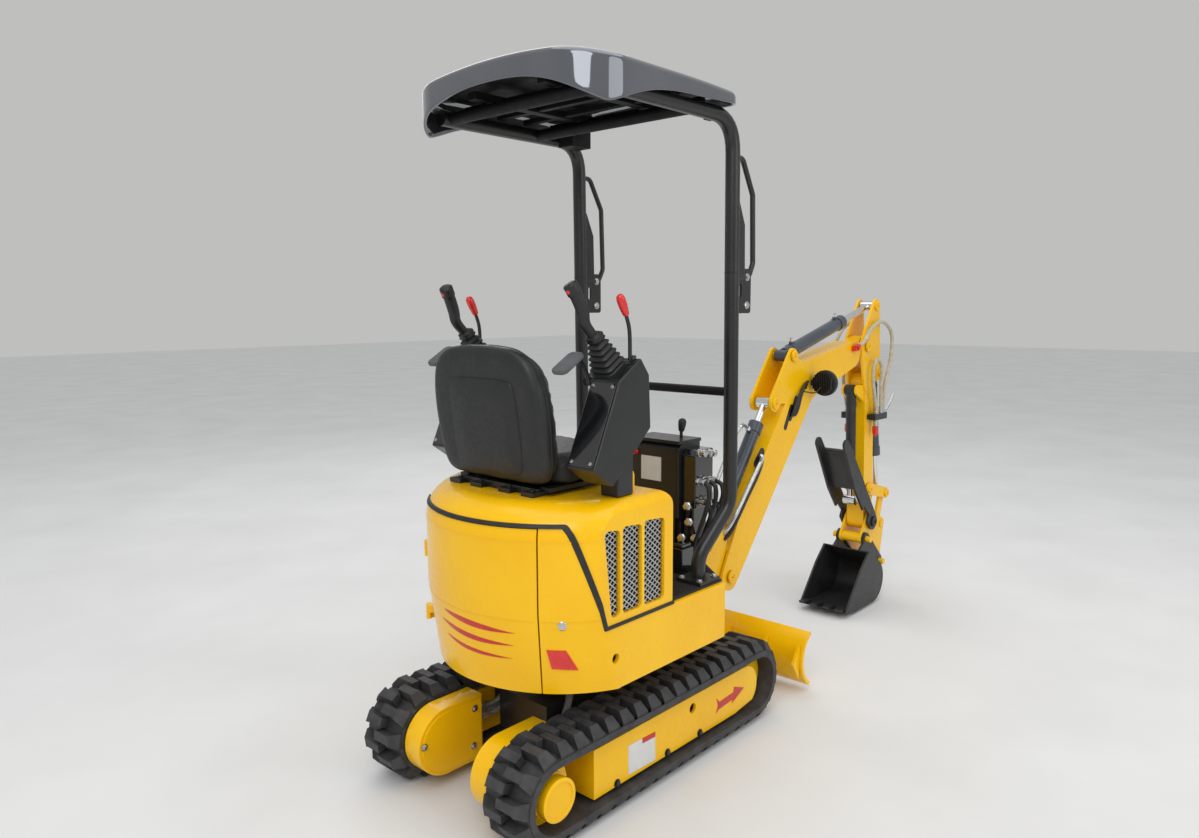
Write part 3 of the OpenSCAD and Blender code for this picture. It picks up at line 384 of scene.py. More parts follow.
def layer(bm, place, outline, height):
    """An outline of (u, v) pairs in mm as points at a height over the XY plane of a matrix."""
    return [bm.verts.new(place @ Vector((u / MM, v / MM, height / MM))) for u, v in outline]


def slab(bm, place, outline, thick):
    """A flat plate on the XY plane of a matrix, thick along its Z."""
    wall(bm, layer(bm, place, outline, 0), layer(bm, place, outline, thick))


def box(bm, lo, hi):
    """A block between two corners, whose y may come in either order."""
    outline = [(lo[0], lo[2]), (hi[0], lo[2]), (hi[0], hi[2]), (lo[0], hi[2])]
    prism(bm, outline, *sorted((lo[1], hi[1])))


def bolt(bm, at, axis, r=8.0, spin=0.3):
    """A hexagon head on a washer."""
    lathe(bm, [(0, -1), (r * 1.45, -1), (r * 1.45, r * 0.22), (0, r * 0.22)], at, axis, 20)
    head = [(0, r * 0.2), (r * 1.02, r * 0.2), (r * 1.02, r * 0.78), (r * 0.86, r * 0.9), (0, r * 0.9)]
    lathe(bm, head, at, axis, 6, spin)


def round_rect(w, h, r, n=6):
    """A rounded rectangle's outline about the origin."""
    out = []
    for cx, cy, a in ((w / 2 - r, h / 2 - r, 0), (r - w / 2, h / 2 - r, 90), (r - w / 2, r - h / 2, 180),
                      (w / 2 - r, r - h / 2, 270)):
        for k in range(n + 1):
            t = radians(a + 90 * k / n)
            out.append((cx + r * cos(t), cy + r * sin(t)))
    return out


def piece(name, bm, finish, body="house", bevel=0.0, sharp=35, subdivide=0, hides=()):
    """Makes an object that rides on a body; for any other body it is left in place, its transform baked."""
    bmesh.ops.recalc_face_normals(bm, faces=bm.faces)
    mesh = bpy.data.meshes.new(name)
    bm.to_mesh(mesh)
    bm.free()
    obj = add_object(name, mesh)
    mesh.materials.append(finish)
    mesh.polygons.foreach_set("use_smooth", [True] * len(mesh.polygons))
    mesh.set_sharp_from_angle(angle=radians(sharp))
    if bevel:
        bevel_edges(obj, bevel).harden_normals = True
    if subdivide:
        sub = obj.modifiers.new("subdivide", "SUBSURF")
        sub.levels = sub.render_levels = subdivide
    if isinstance(body, str):
        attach(obj, body)
    else:
        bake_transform(obj)
    if hides:
        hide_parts(*hides)
    return obj


# canopy
CANOPY_X = (-400, 300)
CANOPY_Y = 400
FRONT_CORNER, REAR_CORNER = 50, 150
INNER_CORNER = 90
CROWN = 2200
DOME_FALL = (11000, 4500)
EDGE_ROUND = (22, 18)
REAR_X = -200
REAR_LOW, REAR_RISE = 2024, 108
# the lower edge of the roof's flanks: (x, z)
FLANK_LOW = [(-400, 2020), (-370, 2022), (-340, 2029), (-300, 2039), (-262, 2052), (-225, 2066), (-191, 2078),
             (-150, 2089), (-106, 2098), (-50, 2105), (7, 2109), (103, 2112), (224, 2117), (300, 2122)]


def canopy_ring(inset, n=14, sides=14):
    """Points of the roof's outline, moved in by an inset, as (x, y) pairs."""
    arcs = []
    room = 0.9 * ((CANOPY_X[1] - CANOPY_X[0]) / 2 - inset)
    for sx, sy, turn in ((1, 1, 0), (-1, 1, 90), (-1, -1, 180), (1, -1, 270)):
        r = max((FRONT_CORNER if sx > 0 else REAR_CORNER) - inset, min(INNER_CORNER * inset / 140, room))
        cx = CANOPY_X[sx > 0] - sx * (inset + r)
        cy = sy * (CANOPY_Y - inset - r)
        turns = [radians(turn + 90 * k / n) for k in range(n + 1)]
        arcs.append([(cx + r * cos(a), cy + r * sin(a)) for a in turns])
    out = []
    for arc, following in zip(arcs, arcs[1:] + arcs[:1]):
        (x0, y0), (x1, y1) = arc[-1], following[0]
        out += arc + [(x0 + (x1 - x0) * k / sides, y0 + (y1 - y0) * k / sides) for k in range(1, sides)]
    return out


def dome(x, y):
    """Height of the roof, which falls to the front and to both sides."""
    return CROWN - max(0, x) ** 2 / DOME_FALL[0] - y ** 2 / DOME_FALL[1]


def between(table, x):
    """A value from a table of (x, value) pairs, on straight lines."""
    for (x0, v0), (x1, v1) in zip(table, table[1:]):
        if x <= x1:
            t = max(0, (x - x0) / (x1 - x0))
            return v0 + (v1 - v0) * t
    return table[-1][1]


def skirt(x, y):
    """Height of the skirt's wavy lower edge."""
    rear = REAR_LOW + REAR_RISE * (1 - abs(y / CANOPY_Y) ** 2.5) if x < REAR_X else 0
    return max(between(FLANK_LOW, x), rear)


def roof_sheet(bm, layers, middle=()):
    """A sheet through rings of the roof's outline: an inset, a drop under the dome, a share of the way from there to
    the skirt's edge, and a rise."""
    rings = [list(middle)] if middle else []
    for inset, drop, share, rise in layers:
        rings.append([P(x, y, (dome(x, y) - drop) * (1 - share) + skirt(x, y) * share + rise)
                      for x, y in canopy_ring(inset)])
    loft(bm, [[bm.verts.new(point) for point in ring] for ring in rings])


def make_shade_lining():
    """A dull black sheet under the roof, drawn in the near-black of painted shade."""
    bm = bmesh.new()
    flat = (335, 240, 140, 60)
    roof_sheet(bm, [*[(inset, 20, 0, 0) for inset in flat], (14, 37, 0, 0), (11, 40, 0.5, 0), (11, 0, 1, 14),
                    (14.5, 0, 1, 14), (15.5, 42, 0.5, 0), (19, 43, 0, 0),
                    *[(inset, 25, 0, 0) for inset in flat[::-1]]])
    piece("canopy_shade_lining", bm, SHADE_BLACK, sharp=60)


def make_canopy():
    """The gloss roof, from the middle of its top, which is level, round its edge to the middle of its underside."""
    bm = bmesh.new()
    across, down = EDGE_ROUND
    turns = [radians(a) for a in (20, 40, 60, 80, 90)]
    roof_sheet(bm, [*[(inset, 0, 0, 0) for inset in (300, 240, 180, 140, 100, 70, 46, 26)],
                    *[(across * (1 - sin(t)), down * (1 - cos(t)), 0, 0) for t in turns],
                    *[(0, down, share, 0) for share in (0.35, 0.7, 0.96)],
                    (1.5, 0, 1, 0), (9, 0, 1, 1), (12, 0, 1, 8), (13, 40, 0.5, 0), (16, 40, 0, 0),
                    *[(inset, 22, 0, 0) for inset in (60, 140, 240, 335)]],
               [P(x, y, CROWN - 0.5) for x, y in canopy_ring(335)])
    bmesh.ops.remove_doubles(bm, verts=bm.verts, dist=1e-5)
    piece("canopy_shell", bm, ROOF_SHEEN, sharp=60, subdivide=1, hides=["canopy"])


make_canopy()
make_shade_lining()


# seat
SEAT_Y = 15
BACK_FOOT_Z = 985
BACK_REAR_X = -398
BACK_LEAN = tan(radians(8))
BACK_HALF = [(0, 985), (120, 985), (190, 990), (222, 1018), (236, 1090), (240, 1180), (232, 1265), (206, 1335),
             (150, 1374), (75, 1386), (0, 1388)]


def closed_curve(points, per=5):
    """A smooth closed outline through points."""
    pts = [Vector((x, y, 0)) for x, y in points]
    out = []
    for i in range(len(pts)):
        four = [pts[(i + k) % len(pts)] for k in (-1, 0, 1, 2)]
        out += [catmull(*four, k / per).to_2d() for k in range(per)]
    return [(v.x, v.y) for v in out]


BACK_OUTLINE = closed_curve(BACK_HALF[:-1] + [(-y, z) for y, z in BACK_HALF[:0:-1]])
BACK_MID = 1180


def back_point(y, z, depth):
    """A point of the leaning back: across, up, and forward of its rear face."""
    return P(BACK_REAR_X - (z - BACK_FOOT_Z) * BACK_LEAN + depth, SEAT_Y + y, z)


def back_rings(bm, steps, outline=BACK_OUTLINE, mid=(0, BACK_MID)):
    """Rings of an outline, each shrunk by a share and set forward by a depth."""
    return [[bm.verts.new(back_point(mid[0] + (y - mid[0]) * s, mid[1] + (z - mid[1]) * s, d)) for y, z in outline]
            for s, d in steps]


def make_seat_shell():
    bm = bmesh.new()
    loft(bm, back_rings(bm, [(0.5, 1), (0.8, 0), (0.9, 1.5), (0.955, 6), (0.985, 13), (1.0, 24), (1.0, 34),
                             (0.97, 36)]))
    panel = closed_curve([(-128, 1010), (0, 1006), (128, 1010), (146, 1060), (150, 1160), (144, 1262), (118, 1288),
                          (0, 1292), (-118, 1288), (-144, 1262), (-150, 1160), (-146, 1060)], 4)
    loft(bm, back_rings(bm, [(1.0, 4), (0.985, -2.5), (0.965, -4), (0.5, -4.5)], panel, (0, 1150)))
    piece("seat_shell", bm, PLASTIC, sharp=50)


CLOTH_FRAMES = 20
PAD_VOXEL = 0.006
PAD_SWELL = 0.012
PAD_PRESSURE = 4.0


def inflate(obj):
    """Swells a mesh as a stuffed cover by cloth simulation, each point kept near its start."""
    def settle():
        graph = bpy.context.evaluated_depsgraph_get()
        mesh = bpy.data.meshes.new_from_object(obj.evaluated_get(graph))
        obj.modifiers.clear()
        obj.data = mesh

    remesh = obj.modifiers.new("remesh", "REMESH")
    remesh.mode = "VOXEL"
    remesh.voxel_size = PAD_VOXEL
    remesh.use_smooth_shade = True
    settle()
    start = [v.co.copy() for v in obj.data.vertices]
    cloth = obj.modifiers.new("cloth", "CLOTH")
    cloth.settings.use_pressure = True
    cloth.settings.uniform_pressure_force = PAD_PRESSURE
    cloth.settings.effector_weights.gravity = 0
    cloth.settings.quality = 4
    cloth.point_cache.frame_start = 1
    cloth.point_cache.frame_end = CLOTH_FRAMES
    for f in range(1, CLOTH_FRAMES + 1):
        SCENE.frame_set(f)
    settle()
    for v, s in zip(obj.data.vertices, start):
        move = v.co - s
        if move.length > PAD_SWELL:
            v.co = s + move * (PAD_SWELL / move.length)
    SCENE.frame_set(1)
    obj.data.polygons.foreach_set("use_smooth", [True] * len(obj.data.polygons))
    sub = obj.modifiers.new("subdivide", "SUBSURF")
    sub.levels = sub.render_levels = 1


def make_seat():
    make_seat_shell()
    bm = bmesh.new()
    loft(bm, back_rings(bm, [(0.86, 40), (0.975, 40), (0.99, 50), (0.985, 66), (0.94, 82), (0.8, 90), (0.4, 93)]))
    pad = piece("seat_back_pad", bm, VINYL, hides=["seat_back"])
    bm = bmesh.new()
    cushion = round_rect(340, 440, 60, 6)
    middle = Matrix.Translation(P(-150, SEAT_Y, 0))
    layers = [(0.94, 974), (1.0, 982), (1.0, 1030), (0.95, 1046), (0.8, 1054)]
    loft(bm, [layer(bm, middle, [(x * s, y * s) for x, y in cushion], z) for s, z in layers])
    seat = piece("seat_pad", bm, VINYL, hides=["seat_cushion"])
    for obj in (pad, seat):
        inflate(obj)
    bm = bmesh.new()
    loop = [back_point(y * 0.992, BACK_MID + (z - BACK_MID) * 0.992, 39) for y, z in BACK_OUTLINE]
    tube(bm, [*loop, loop[0]], 3.2, 8)
    piece("seat_piping", bm, VINYL, sharp=80)
    bm = bmesh.new()
    for y in (-150, -50, 80, 180):
        box(bm, (-395, SEAT_Y + y - 26, 948.5), (-300, SEAT_Y + y + 26, 962))
        bolt(bm, P(-372, SEAT_Y + y, 962), (0, 0, 1), 7)
    box(bm, (-352, SEAT_Y - 205, 962), (-40, SEAT_Y - 165, 974))
    box(bm, (-352, SEAT_Y + 165, 962), (-40, SEAT_Y + 205, 974))
    piece("seat_brackets", bm, SATIN, bevel=0.0015)


make_seat()

# consoles, joysticks, levers
CONSOLE = [(-355, 1045), (-275, 990), (-104, 1143), (-112, 1300), (-150, 1351), (-245, 1290)]
CONSOLE_Y = (255, 365)
TOP_ALONG = (Vector(CONSOLE[-2]) - Vector(CONSOLE[-1])).normalized()
TOP_OUT = Vector((-TOP_ALONG.y, TOP_ALONG.x))


def on_console(t, d=0.0):
    """A point, as (x, z), t along a console's sloping top and d out of it."""
    return Vector(CONSOLE[-1]) + TOP_ALONG * t + TOP_OUT * d


def frame_at(origin, along, up):
    """A matrix whose X runs along a direction and whose Z is the given normal."""
    z = Vector(up).normalized()
    x = (Vector(along) - z * Vector(along).dot(z)).normalized()
    m = Matrix((x, z.cross(x), z)).transposed().to_4x4()
    return Matrix.Translation(origin) @ m


STICK_Y = 285
LEVER_Y = 333
LEVER_FOOT = on_console(98, 0.5)
THUMB_SIDE = Vector((-0.75, 0, -0.35))
BLADE_LEVER = (385, -110)
BOOT_FOOT = on_console(52, 0.3)
BOOT_TOP = on_console(52, 118)
BOOT_H = 104
BOOT_HALF, BOOT_TAPER = 47, 23
BOOT_FOLDS = 6
BOOT_FOLD = (0, 3.5, 8, 3.5)
GRIP = [(BOOT_TOP[0] + 10, STICK_Y, BOOT_TOP[1] - 14), (-301, STICK_Y, 1448), (-311, STICK_Y, 1483),
        (-325, STICK_Y - 3, 1516), (-341, STICK_Y - 8, 1544), (-352, STICK_Y - 12, 1562)]


def make_controls():
    covers, screws, boots, grips, buttons, rods, knobs, pads, shells = meshes(9)
    foot, top = (Vector((x, 0, z)) for x, z in (CONSOLE[0], CONSOLE[-1]))
    rear = top - foot
    length = rear.length
    upward = (TOP_OUT.x, 0, TOP_OUT.y)
    for s in SIDES:
        prism(shells, CONSOLE, *sorted(s * y for y in CONSOLE_Y))
        mid_y = s * (CONSOLE_Y[0] + CONSOLE_Y[1]) / 2
        box(shells, (-230, mid_y - 34, 948.5), (-160, mid_y + 34, 1095))
        place = frame_at(P(foot.x, mid_y, foot.z), rear, (-rear.z, 0, rear.x))
        slab(covers, place, [(u + length / 2, v) for u, v in round_rect(length - 16, 96, 8)], 3)
        for u in (20, length - 20):
            for v in (-36, 36):
                at = place @ Vector((u / MM, v / MM, 0))
                lathe(screws, [(0, 3), (6, 3), (5.4, 5.6), (3, 6.4), (0, 6.4)], at, place.col[2].to_3d(), 16)
        base = frame_at(P(BOOT_FOOT[0], s * STICK_Y, BOOT_FOOT[1]), (0, 1, 0), upward)
        rings = []
        steps = BOOT_FOLDS * len(BOOT_FOLD)
        for k in range(steps + 1):
            t = k / steps
            half = BOOT_HALF - BOOT_TAPER * t - BOOT_FOLD[k % len(BOOT_FOLD)]
            rings.append(layer(boots, base, round_rect(2 * half, 2 * half, half * 0.42, 4), t * BOOT_H))
        for r, h in ((24, BOOT_H), (24, 117), (19, 121), (15, 124)):
            rings.append(layer(boots, base, round_rect(2 * r, 2 * r, r * 0.7, 4), h))
        loft(boots, rings)
        slab(boots, base, round_rect(104, 100, 10), 4)
        path = smooth_path([P(x, s * y, z) for x, y, z in GRIP], 6)
        n = len(path) - 1
        radii = [14 + 5 * sin(min(1, 1.35 * i / n) * pi * 0.62) + (3.0 if i / n > 0.72 else 0)
                 for i in range(n + 1)]
        radii[-1] *= 0.8
        tube(grips, path, radii, 16)
        back = (path[-1] - path[-4]).normalized()
        face = THUMB_SIDE - back * THUMB_SIDE.dot(back)
        lathe(buttons, [(0, 0), (7, 0), (7, 4), (5, 5.5), (0, 6)], path[-6] + face.normalized() * 0.017, face, 16)
        y = s * LEVER_Y
        root = (LEVER_FOOT[0], y, LEVER_FOOT[1])
        hose(rods, [root, (-166, y, 1430), (-184, y, 1482)], 6, 10, 5)
        slab(rods, frame_at(P(*root), (0, 1, 0), upward), round_rect(26, 44, 8), 2.5)
        low, high = P(-180, y, 1474), P(-211, y, 1533)
        lathe(knobs, [(0, 0), (8.5, 0), (10.5, 4), (13.5, 30), (13.5, 52), (11, 61), (6, 66), (0, 67)],
              low, high - low, 14)
        rest = frame_at(P(-362, s * 279, 1336), (1, 0, 0.6), (-0.6, 0, 1))
        slab(pads, rest, round_rect(100, 58, 18), 16)
        bar = [(-334, s * 272, 1360), (-296, s * 260, 1346), (-262, s * 253, 1308), (-250, s * 252, 1272)]
        hose(rods, bar, 6, 10, 5)
    piece("console_shells", shells, SATIN, bevel=0.005, hides=["consoles"])
    piece("console_covers", covers, GLOSS, bevel=0.001)
    piece("console_screws", screws, ZINC)
    piece("joystick_boots", boots, PLASTIC, sharp=25, hides=["joysticks"])
    piece("joystick_grips", grips, PLASTIC, sharp=60)
    piece("joystick_buttons", buttons, RED_KNOB)
    tube(rods, [P(*BLADE_LEVER, z) for z in (1030.2, 1062)], 6, 10)
    piece("lever_rods", rods, SATIN, hides=["levers"])
    piece("lever_knobs", knobs, RED_KNOB, sharp=60)
    piece("arm_pads", pads, GREY, bevel=0.006, hides=["armrests"])
    bm = bmesh.new()
    lathe(bm, [(0, 0), (9, 0), (11, 5), (14, 22), (15, 34), (12, 42), (6, 46), (0, 47)], P(*BLADE_LEVER, 1056),
          (0.05, -0.1, 1), 16)
    piece("blade_knob", bm, PLASTIC, sharp=60)


make_controls()


# decals and fittings of the tail
TAIL_X = -100
TAIL_R = (412, 445)
TAIL_Z = (391, 640)
STRIPES = [([(168, 595), (183.6, 584), (194.9, 578.7), (205.1, 576.3)], 9),
           ([(165, 559), (176.8, 545.3), (187.7, 538.5), (196.9, 537.4), (204.3, 537.5)], 8),
           ([(167.5, 515), (178, 502), (186.9, 496.8), (196.3, 495.6), (203.5, 496)], 6)]
REFLECTOR = [(217.1, 531.4), (224.5, 530), (229.3, 468), (219, 473)]
LOCK = (223.2, 607)
CREASE_STEPS = 40


def on_tail(angle, z, lift=0.0):
    """A point on the round tail, at an angle in degrees about its middle."""
    a = radians(angle)
    r = TAIL_R[0] + (TAIL_R[1] - TAIL_R[0]) * min(1, (z - TAIL_Z[0]) / (TAIL_Z[1] - TAIL_Z[0])) + lift
    return P(TAIL_X + r * cos(a), r * sin(a), z)


def film(bm, rows, surface, proud=0.8):
    """A thin film of rows of (u, v) points on a surface, a little sunk and a little proud."""
    low = [[bm.verts.new(surface(u, v, -0.5)) for u, v in row] for row in rows]
    high = [[bm.verts.new(surface(u, v, proud)) for u, v in row] for row in rows]
    skin(bm, low, closed=False)
    skin(bm, high, closed=False)

    def rim(g):
        return [*g[0], *[row[-1] for row in g[1:]], *g[-1][-2::-1], *[row[0] for row in g[-2:0:-1]]]

    skin(bm, [rim(low), rim(high)])


def film_row(u, v, half):
    return [(u, v - half), (u, v), (u, v + half)]


def make_tail():
    stripes, glass, lock = meshes(3)
    for centre, half in STRIPES:
        path = smooth_path([(a, z, 0) for a, z in centre], 10)
        n = len(path) - 1
        rows = []
        for i, p in enumerate(path):
            rows.append(film_row(p.x, p.y, max(0.2, half * sin(pi * (i / n) ** 0.7))))
        film(stripes, rows, on_tail)
    piece("tail_stripes", stripes, RED, "rear_door", sharp=60)
    corner = [Vector(c) for c in REFLECTOR]
    rows = []
    for i in range(9):
        high, low = corner[0].lerp(corner[1], i / 8), corner[3].lerp(corner[2], i / 8)
        rows.append([high.lerp(low, k / 4) for k in range(5)])
    film(glass, rows, on_tail, 2.5)
    piece("tail_reflector", glass, RED_KNOB, sharp=60)
    out = on_tail(*LOCK, 1) - on_tail(*LOCK, 0)
    lathe(lock, [(0, -2), (13, -2), (13, 2.5), (11, 4), (8, 4), (7, 2.5), (0, 2.5)], on_tail(*LOCK), out, 24)
    piece("tail_lock", lock, ZINC)
    for name, body, first, last in (("door_crease", "rear_door", 143, 213), ("cowl_crease", "house", 215.5, 237)):
        bm = bmesh.new()
        turns = [first + (last - first) * i / CREASE_STEPS for i in range(CREASE_STEPS + 1)]
        for z, half in ((848, 2.2), (616, 1.6)):
            film(bm, [film_row(a, z, half) for a in turns], on_tail, 0.9)
        piece(name, bm, YELLOW, body, sharp=20)


make_tail()

# undercarriage
HUB = (-510, 150)
GUARD_FACE = 120
GUARD_FRONT = -367
GUARD_BOLTS = [(-401, 223), (-409, 100), (-600, 168)]
FRAME_Y = 350
FRAME_BOLTS = (180, 3, -243)
ARROW = [(274, 110), (292, 120), (376, 127), (372, 113), (448, 147), (384, 171), (380, 152), (296, 146), (276, 165),
         (286, 137)]
PLATE = [(-190, 82), (-60, 78), (-60, 172), (-190, 176)]
PLATE_TAB = [(-124, 158), (-60, 156), (-60, 172), (-124, 174)]


def make_undercarriage():
    rims, plates, bolts, black, hoses, ends = meshes(6)
    for s in SIDES:
        lathe(rims, [(0, -1), (46, -1), (46, 0.6), (50, 0.6), (51, 3.4), (59, 3.4), (62.5, 1), (62.5, -30), (66, -32),
                     (66, -44), (60, -46)], P(HUB[0], s * 373, HUB[1]), (0, s, 0), 48)
        arc = [(HUB[0] + 96 * cos(radians(a)), HUB[1] + 4 + 96 * sin(radians(a)))
               for a in range(90, 271, 9)]
        outline = [*arc, (GUARD_FRONT - 12, HUB[1] - 92), (GUARD_FRONT - 6, HUB[1] - 84),
                   (GUARD_FRONT - 6, HUB[1] + 92), (GUARD_FRONT - 12, HUB[1] + 100)]
        prism(plates, outline, s * (GUARD_FACE + 1), s * (GUARD_FACE - 4))
        for x, z in GUARD_BOLTS:
            bolt(bolts, P(x, s * (GUARD_FACE - 4), z), (0, -s, 0), 8)
        for x in FRAME_BOLTS:
            bolt(black, P(x, s * FRAME_Y, 78), (0, s, 0), 9)
        for k in range(3):
            y, z = s * (138 + 22 * k), 176 + 20 * (k % 2)
            hose(hoses, [(GUARD_FRONT + 20, y, z), (-325, y, z - 4), (-285, s * (132 + 14 * k), z + 4),
                         (-245, s * (124 + 8 * k), z + 36), (-205, s * (112 + 5 * k), 262 + 8 * k),
                         (-160, s * (90 - 6 * k), 288)], 9, 14)
            lathe(ends, [(0, 0), (14, 0), (14, 9), (11, 11), (11, 20), (12, 22), (12, 40), (10, 42), (0, 42)],
                  P(GUARD_FRONT, y, z), (1, 0, 0), 18)
    piece("hub_rims", rims, YELLOW, "undercarriage", sharp=40)
    piece("guard_plates", plates, YELLOW, "undercarriage", bevel=0.0012)
    piece("guard_bolts", bolts, ZINC, "undercarriage")
    piece("frame_bolts", black, SATIN, "undercarriage")
    piece("travel_hose_set", hoses, BRAID, "undercarriage", sharp=60, hides=["travel_hoses"])
    piece("travel_hose_ends", ends, ZINC, "undercarriage")
    for name, outline, finish, proud, sunk in (("frame_arrow", ARROW, RED, 0.9, 0.5),
                                               ("frame_plate", PLATE, WHITE, 0.9, 0.5),
                                               ("frame_plate_tab", PLATE_TAB, RED, 1.5, 0)):
        bm = bmesh.new()
        prism(bm, outline, -FRAME_Y - proud, -FRAME_Y + sunk)
        piece(name, bm, finish, "undercarriage")


make_undercarriage()

# posts, rails and handles
POST_Y = 341
POST_R = 24
POST_LEAN = 0.012
CROSS_BAR_Z = 1213
COLLAR_Z = 1607
RAIL_Z = 2096
HANDLE = [(360, 1978), (398, 1976), (462, 1866), (470, 1640), (446, 1596), (360, 1590)]


def post_x(z):
    return 350 - POST_LEAN * (z - CROSS_BAR_Z)


def fillet_path(points, radius, n=8):
    """A path through points, its corners rounded at a radius in mm."""
    pts = [Vector(p) for p in points]
    out = [pts[0]]
    for a, b, c in zip(pts, pts[1:], pts[2:]):
        into, away = (b - a).normalized(), (c - b).normalized()
        cut = radius / MM * tan(into.angle(away) / 2)
        start, end = b - into * cut, b + away * cut
        for k in range(n + 1):
            t = k / n
            out.append(start * (1 - t) ** 2 + b * 2 * t * (1 - t) + end * t * t)
    return [*out, pts[-1]]


def slotted(bm, place, outer, inner, thick):
    """A plate with one opening; both outlines have as many points."""
    rings = [layer(bm, place, line, h) for line, h in ((outer, 0), (outer, thick), (inner, thick), (inner, 0))]
    skin(bm, [*rings, rings[0]])


def make_posts():
    tubes, plates, bolts, handles, rails = meshes(5)
    for s in SIDES:
        y = s * POST_Y
        route = [P(221, y - s * 34, 588), P(221, y - s * 34, 668), P(post_x(830), y, 830),
                 P(post_x(RAIL_Z), y, RAIL_Z), P(-300, y, RAIL_Z)]
        tube(tubes, fillet_path(route, 110), POST_R, 28)
        lathe(tubes, [(POST_R, -2), (POST_R + 1.6, -1.2), (POST_R + 1.6, 1.2), (POST_R, 2)],
              P(post_x(COLLAR_Z), y, COLLAR_Z), (0, 0, 1), 28)
        box(tubes, (166, y - s * 84, 586), (276, y + s * 16, 600))
        for x, dy in ((180, -70), (262, -70), (180, 2), (262, 2)):
            bolt(bolts, P(x, y + s * dy, 600), (0, 0, 1), 8)
        place = frame_at(P(406, y - 5, 1548), (1, 0, 0), (0, 1, 0))
        slotted(plates, place, round_rect(96, 148, 10), [(u - 15, v) for u, v in round_rect(15, 48, 7.4)], 10)
        for z in (1501, 1594):
            for face in SIDES:
                bolt(bolts, P(428, y + face * 5, z), (0, face, 0), 9)
        prism(plates, [(362, 1612), (420, 1612), (416, 1765), (378, 1850), (362, 1850)], y - 2.5, y + 2.5)
        tube(handles, fillet_path([P(x, y, z) for x, z in HANDLE], 26, 5), 9, 14)
    for x in (-265, 120):
        tube(rails, [P(x, y, RAIL_Z) for y in (-POST_Y, POST_Y)], 20, 20)
    tube(rails, [P(post_x(CROSS_BAR_Z), y, CROSS_BAR_Z) for y in (-POST_Y, POST_Y)], 15, 18)
    for y in (-150, 150):
        box(rails, (-330, y - 18, 2118), (250, y + 18, 2142))
    for x in (-200, -60, 60, 190):
        box(rails, (x - 12, -330, 2122), (x + 12, 330, 2140))
    box(rails, (196, 236, 2062), (292, 306, 2126))
    box(rails, (238, -330, 2082), (272, -296, 2126))
    piece("post_tubes", tubes, SATIN, sharp=50, hides=["canopy_posts", "canopy_frame"])
    piece("post_plates", plates, SATIN, bevel=0.0012)
    piece("post_bolts", bolts, ZINC)
    piece("post_handles", handles, SATIN, sharp=60, hides=["grab_handles"])
    # the rails are satin black like the posts, drawn in the near-black of painted shade under the roof
    piece("roof_rails", rails, SHADE_BLACK, bevel=0.002)


make_posts()

# floor mat ribs, hood lugs
FLOOR_Z = 587
MAT_X = (6, 452)
MAT_CORNER = (281, 352)
MAT_NOSE = (470, 130)
RIB_PITCH = 16


def make_floor():
    bm = bmesh.new()
    for i in range(int((MAT_X[1] - MAT_X[0]) / RIB_PITCH)):
        x = MAT_X[0] + RIB_PITCH * (i + 0.5)
        t = max(0, (x - MAT_CORNER[0]) / (MAT_NOSE[0] - MAT_CORNER[0]))
        half = MAT_CORNER[1] + (MAT_NOSE[1] - MAT_CORNER[1]) * t - 6
        low, high = FLOOR_Z - 0.5, FLOOR_Z + 2.5
        prism(bm, [(x - 4, low), (x + 4, low), (x + 2.5, high), (x - 2.5, high)], -half, half)
    piece("mat_ribs", bm, MAT_RUBBER)
    bm = bmesh.new()
    for s in SIDES:
        place = frame_at(P(-137, s * 300 - 5, 976), (1, 0, 0), (0, 1, 0))
        slotted(bm, place, round_rect(58, 74, 20), round_rect(20, 20, 9.9), 10)
    piece("hood_lugs", bm, YELLOW, bevel=0.0015)


make_floor()


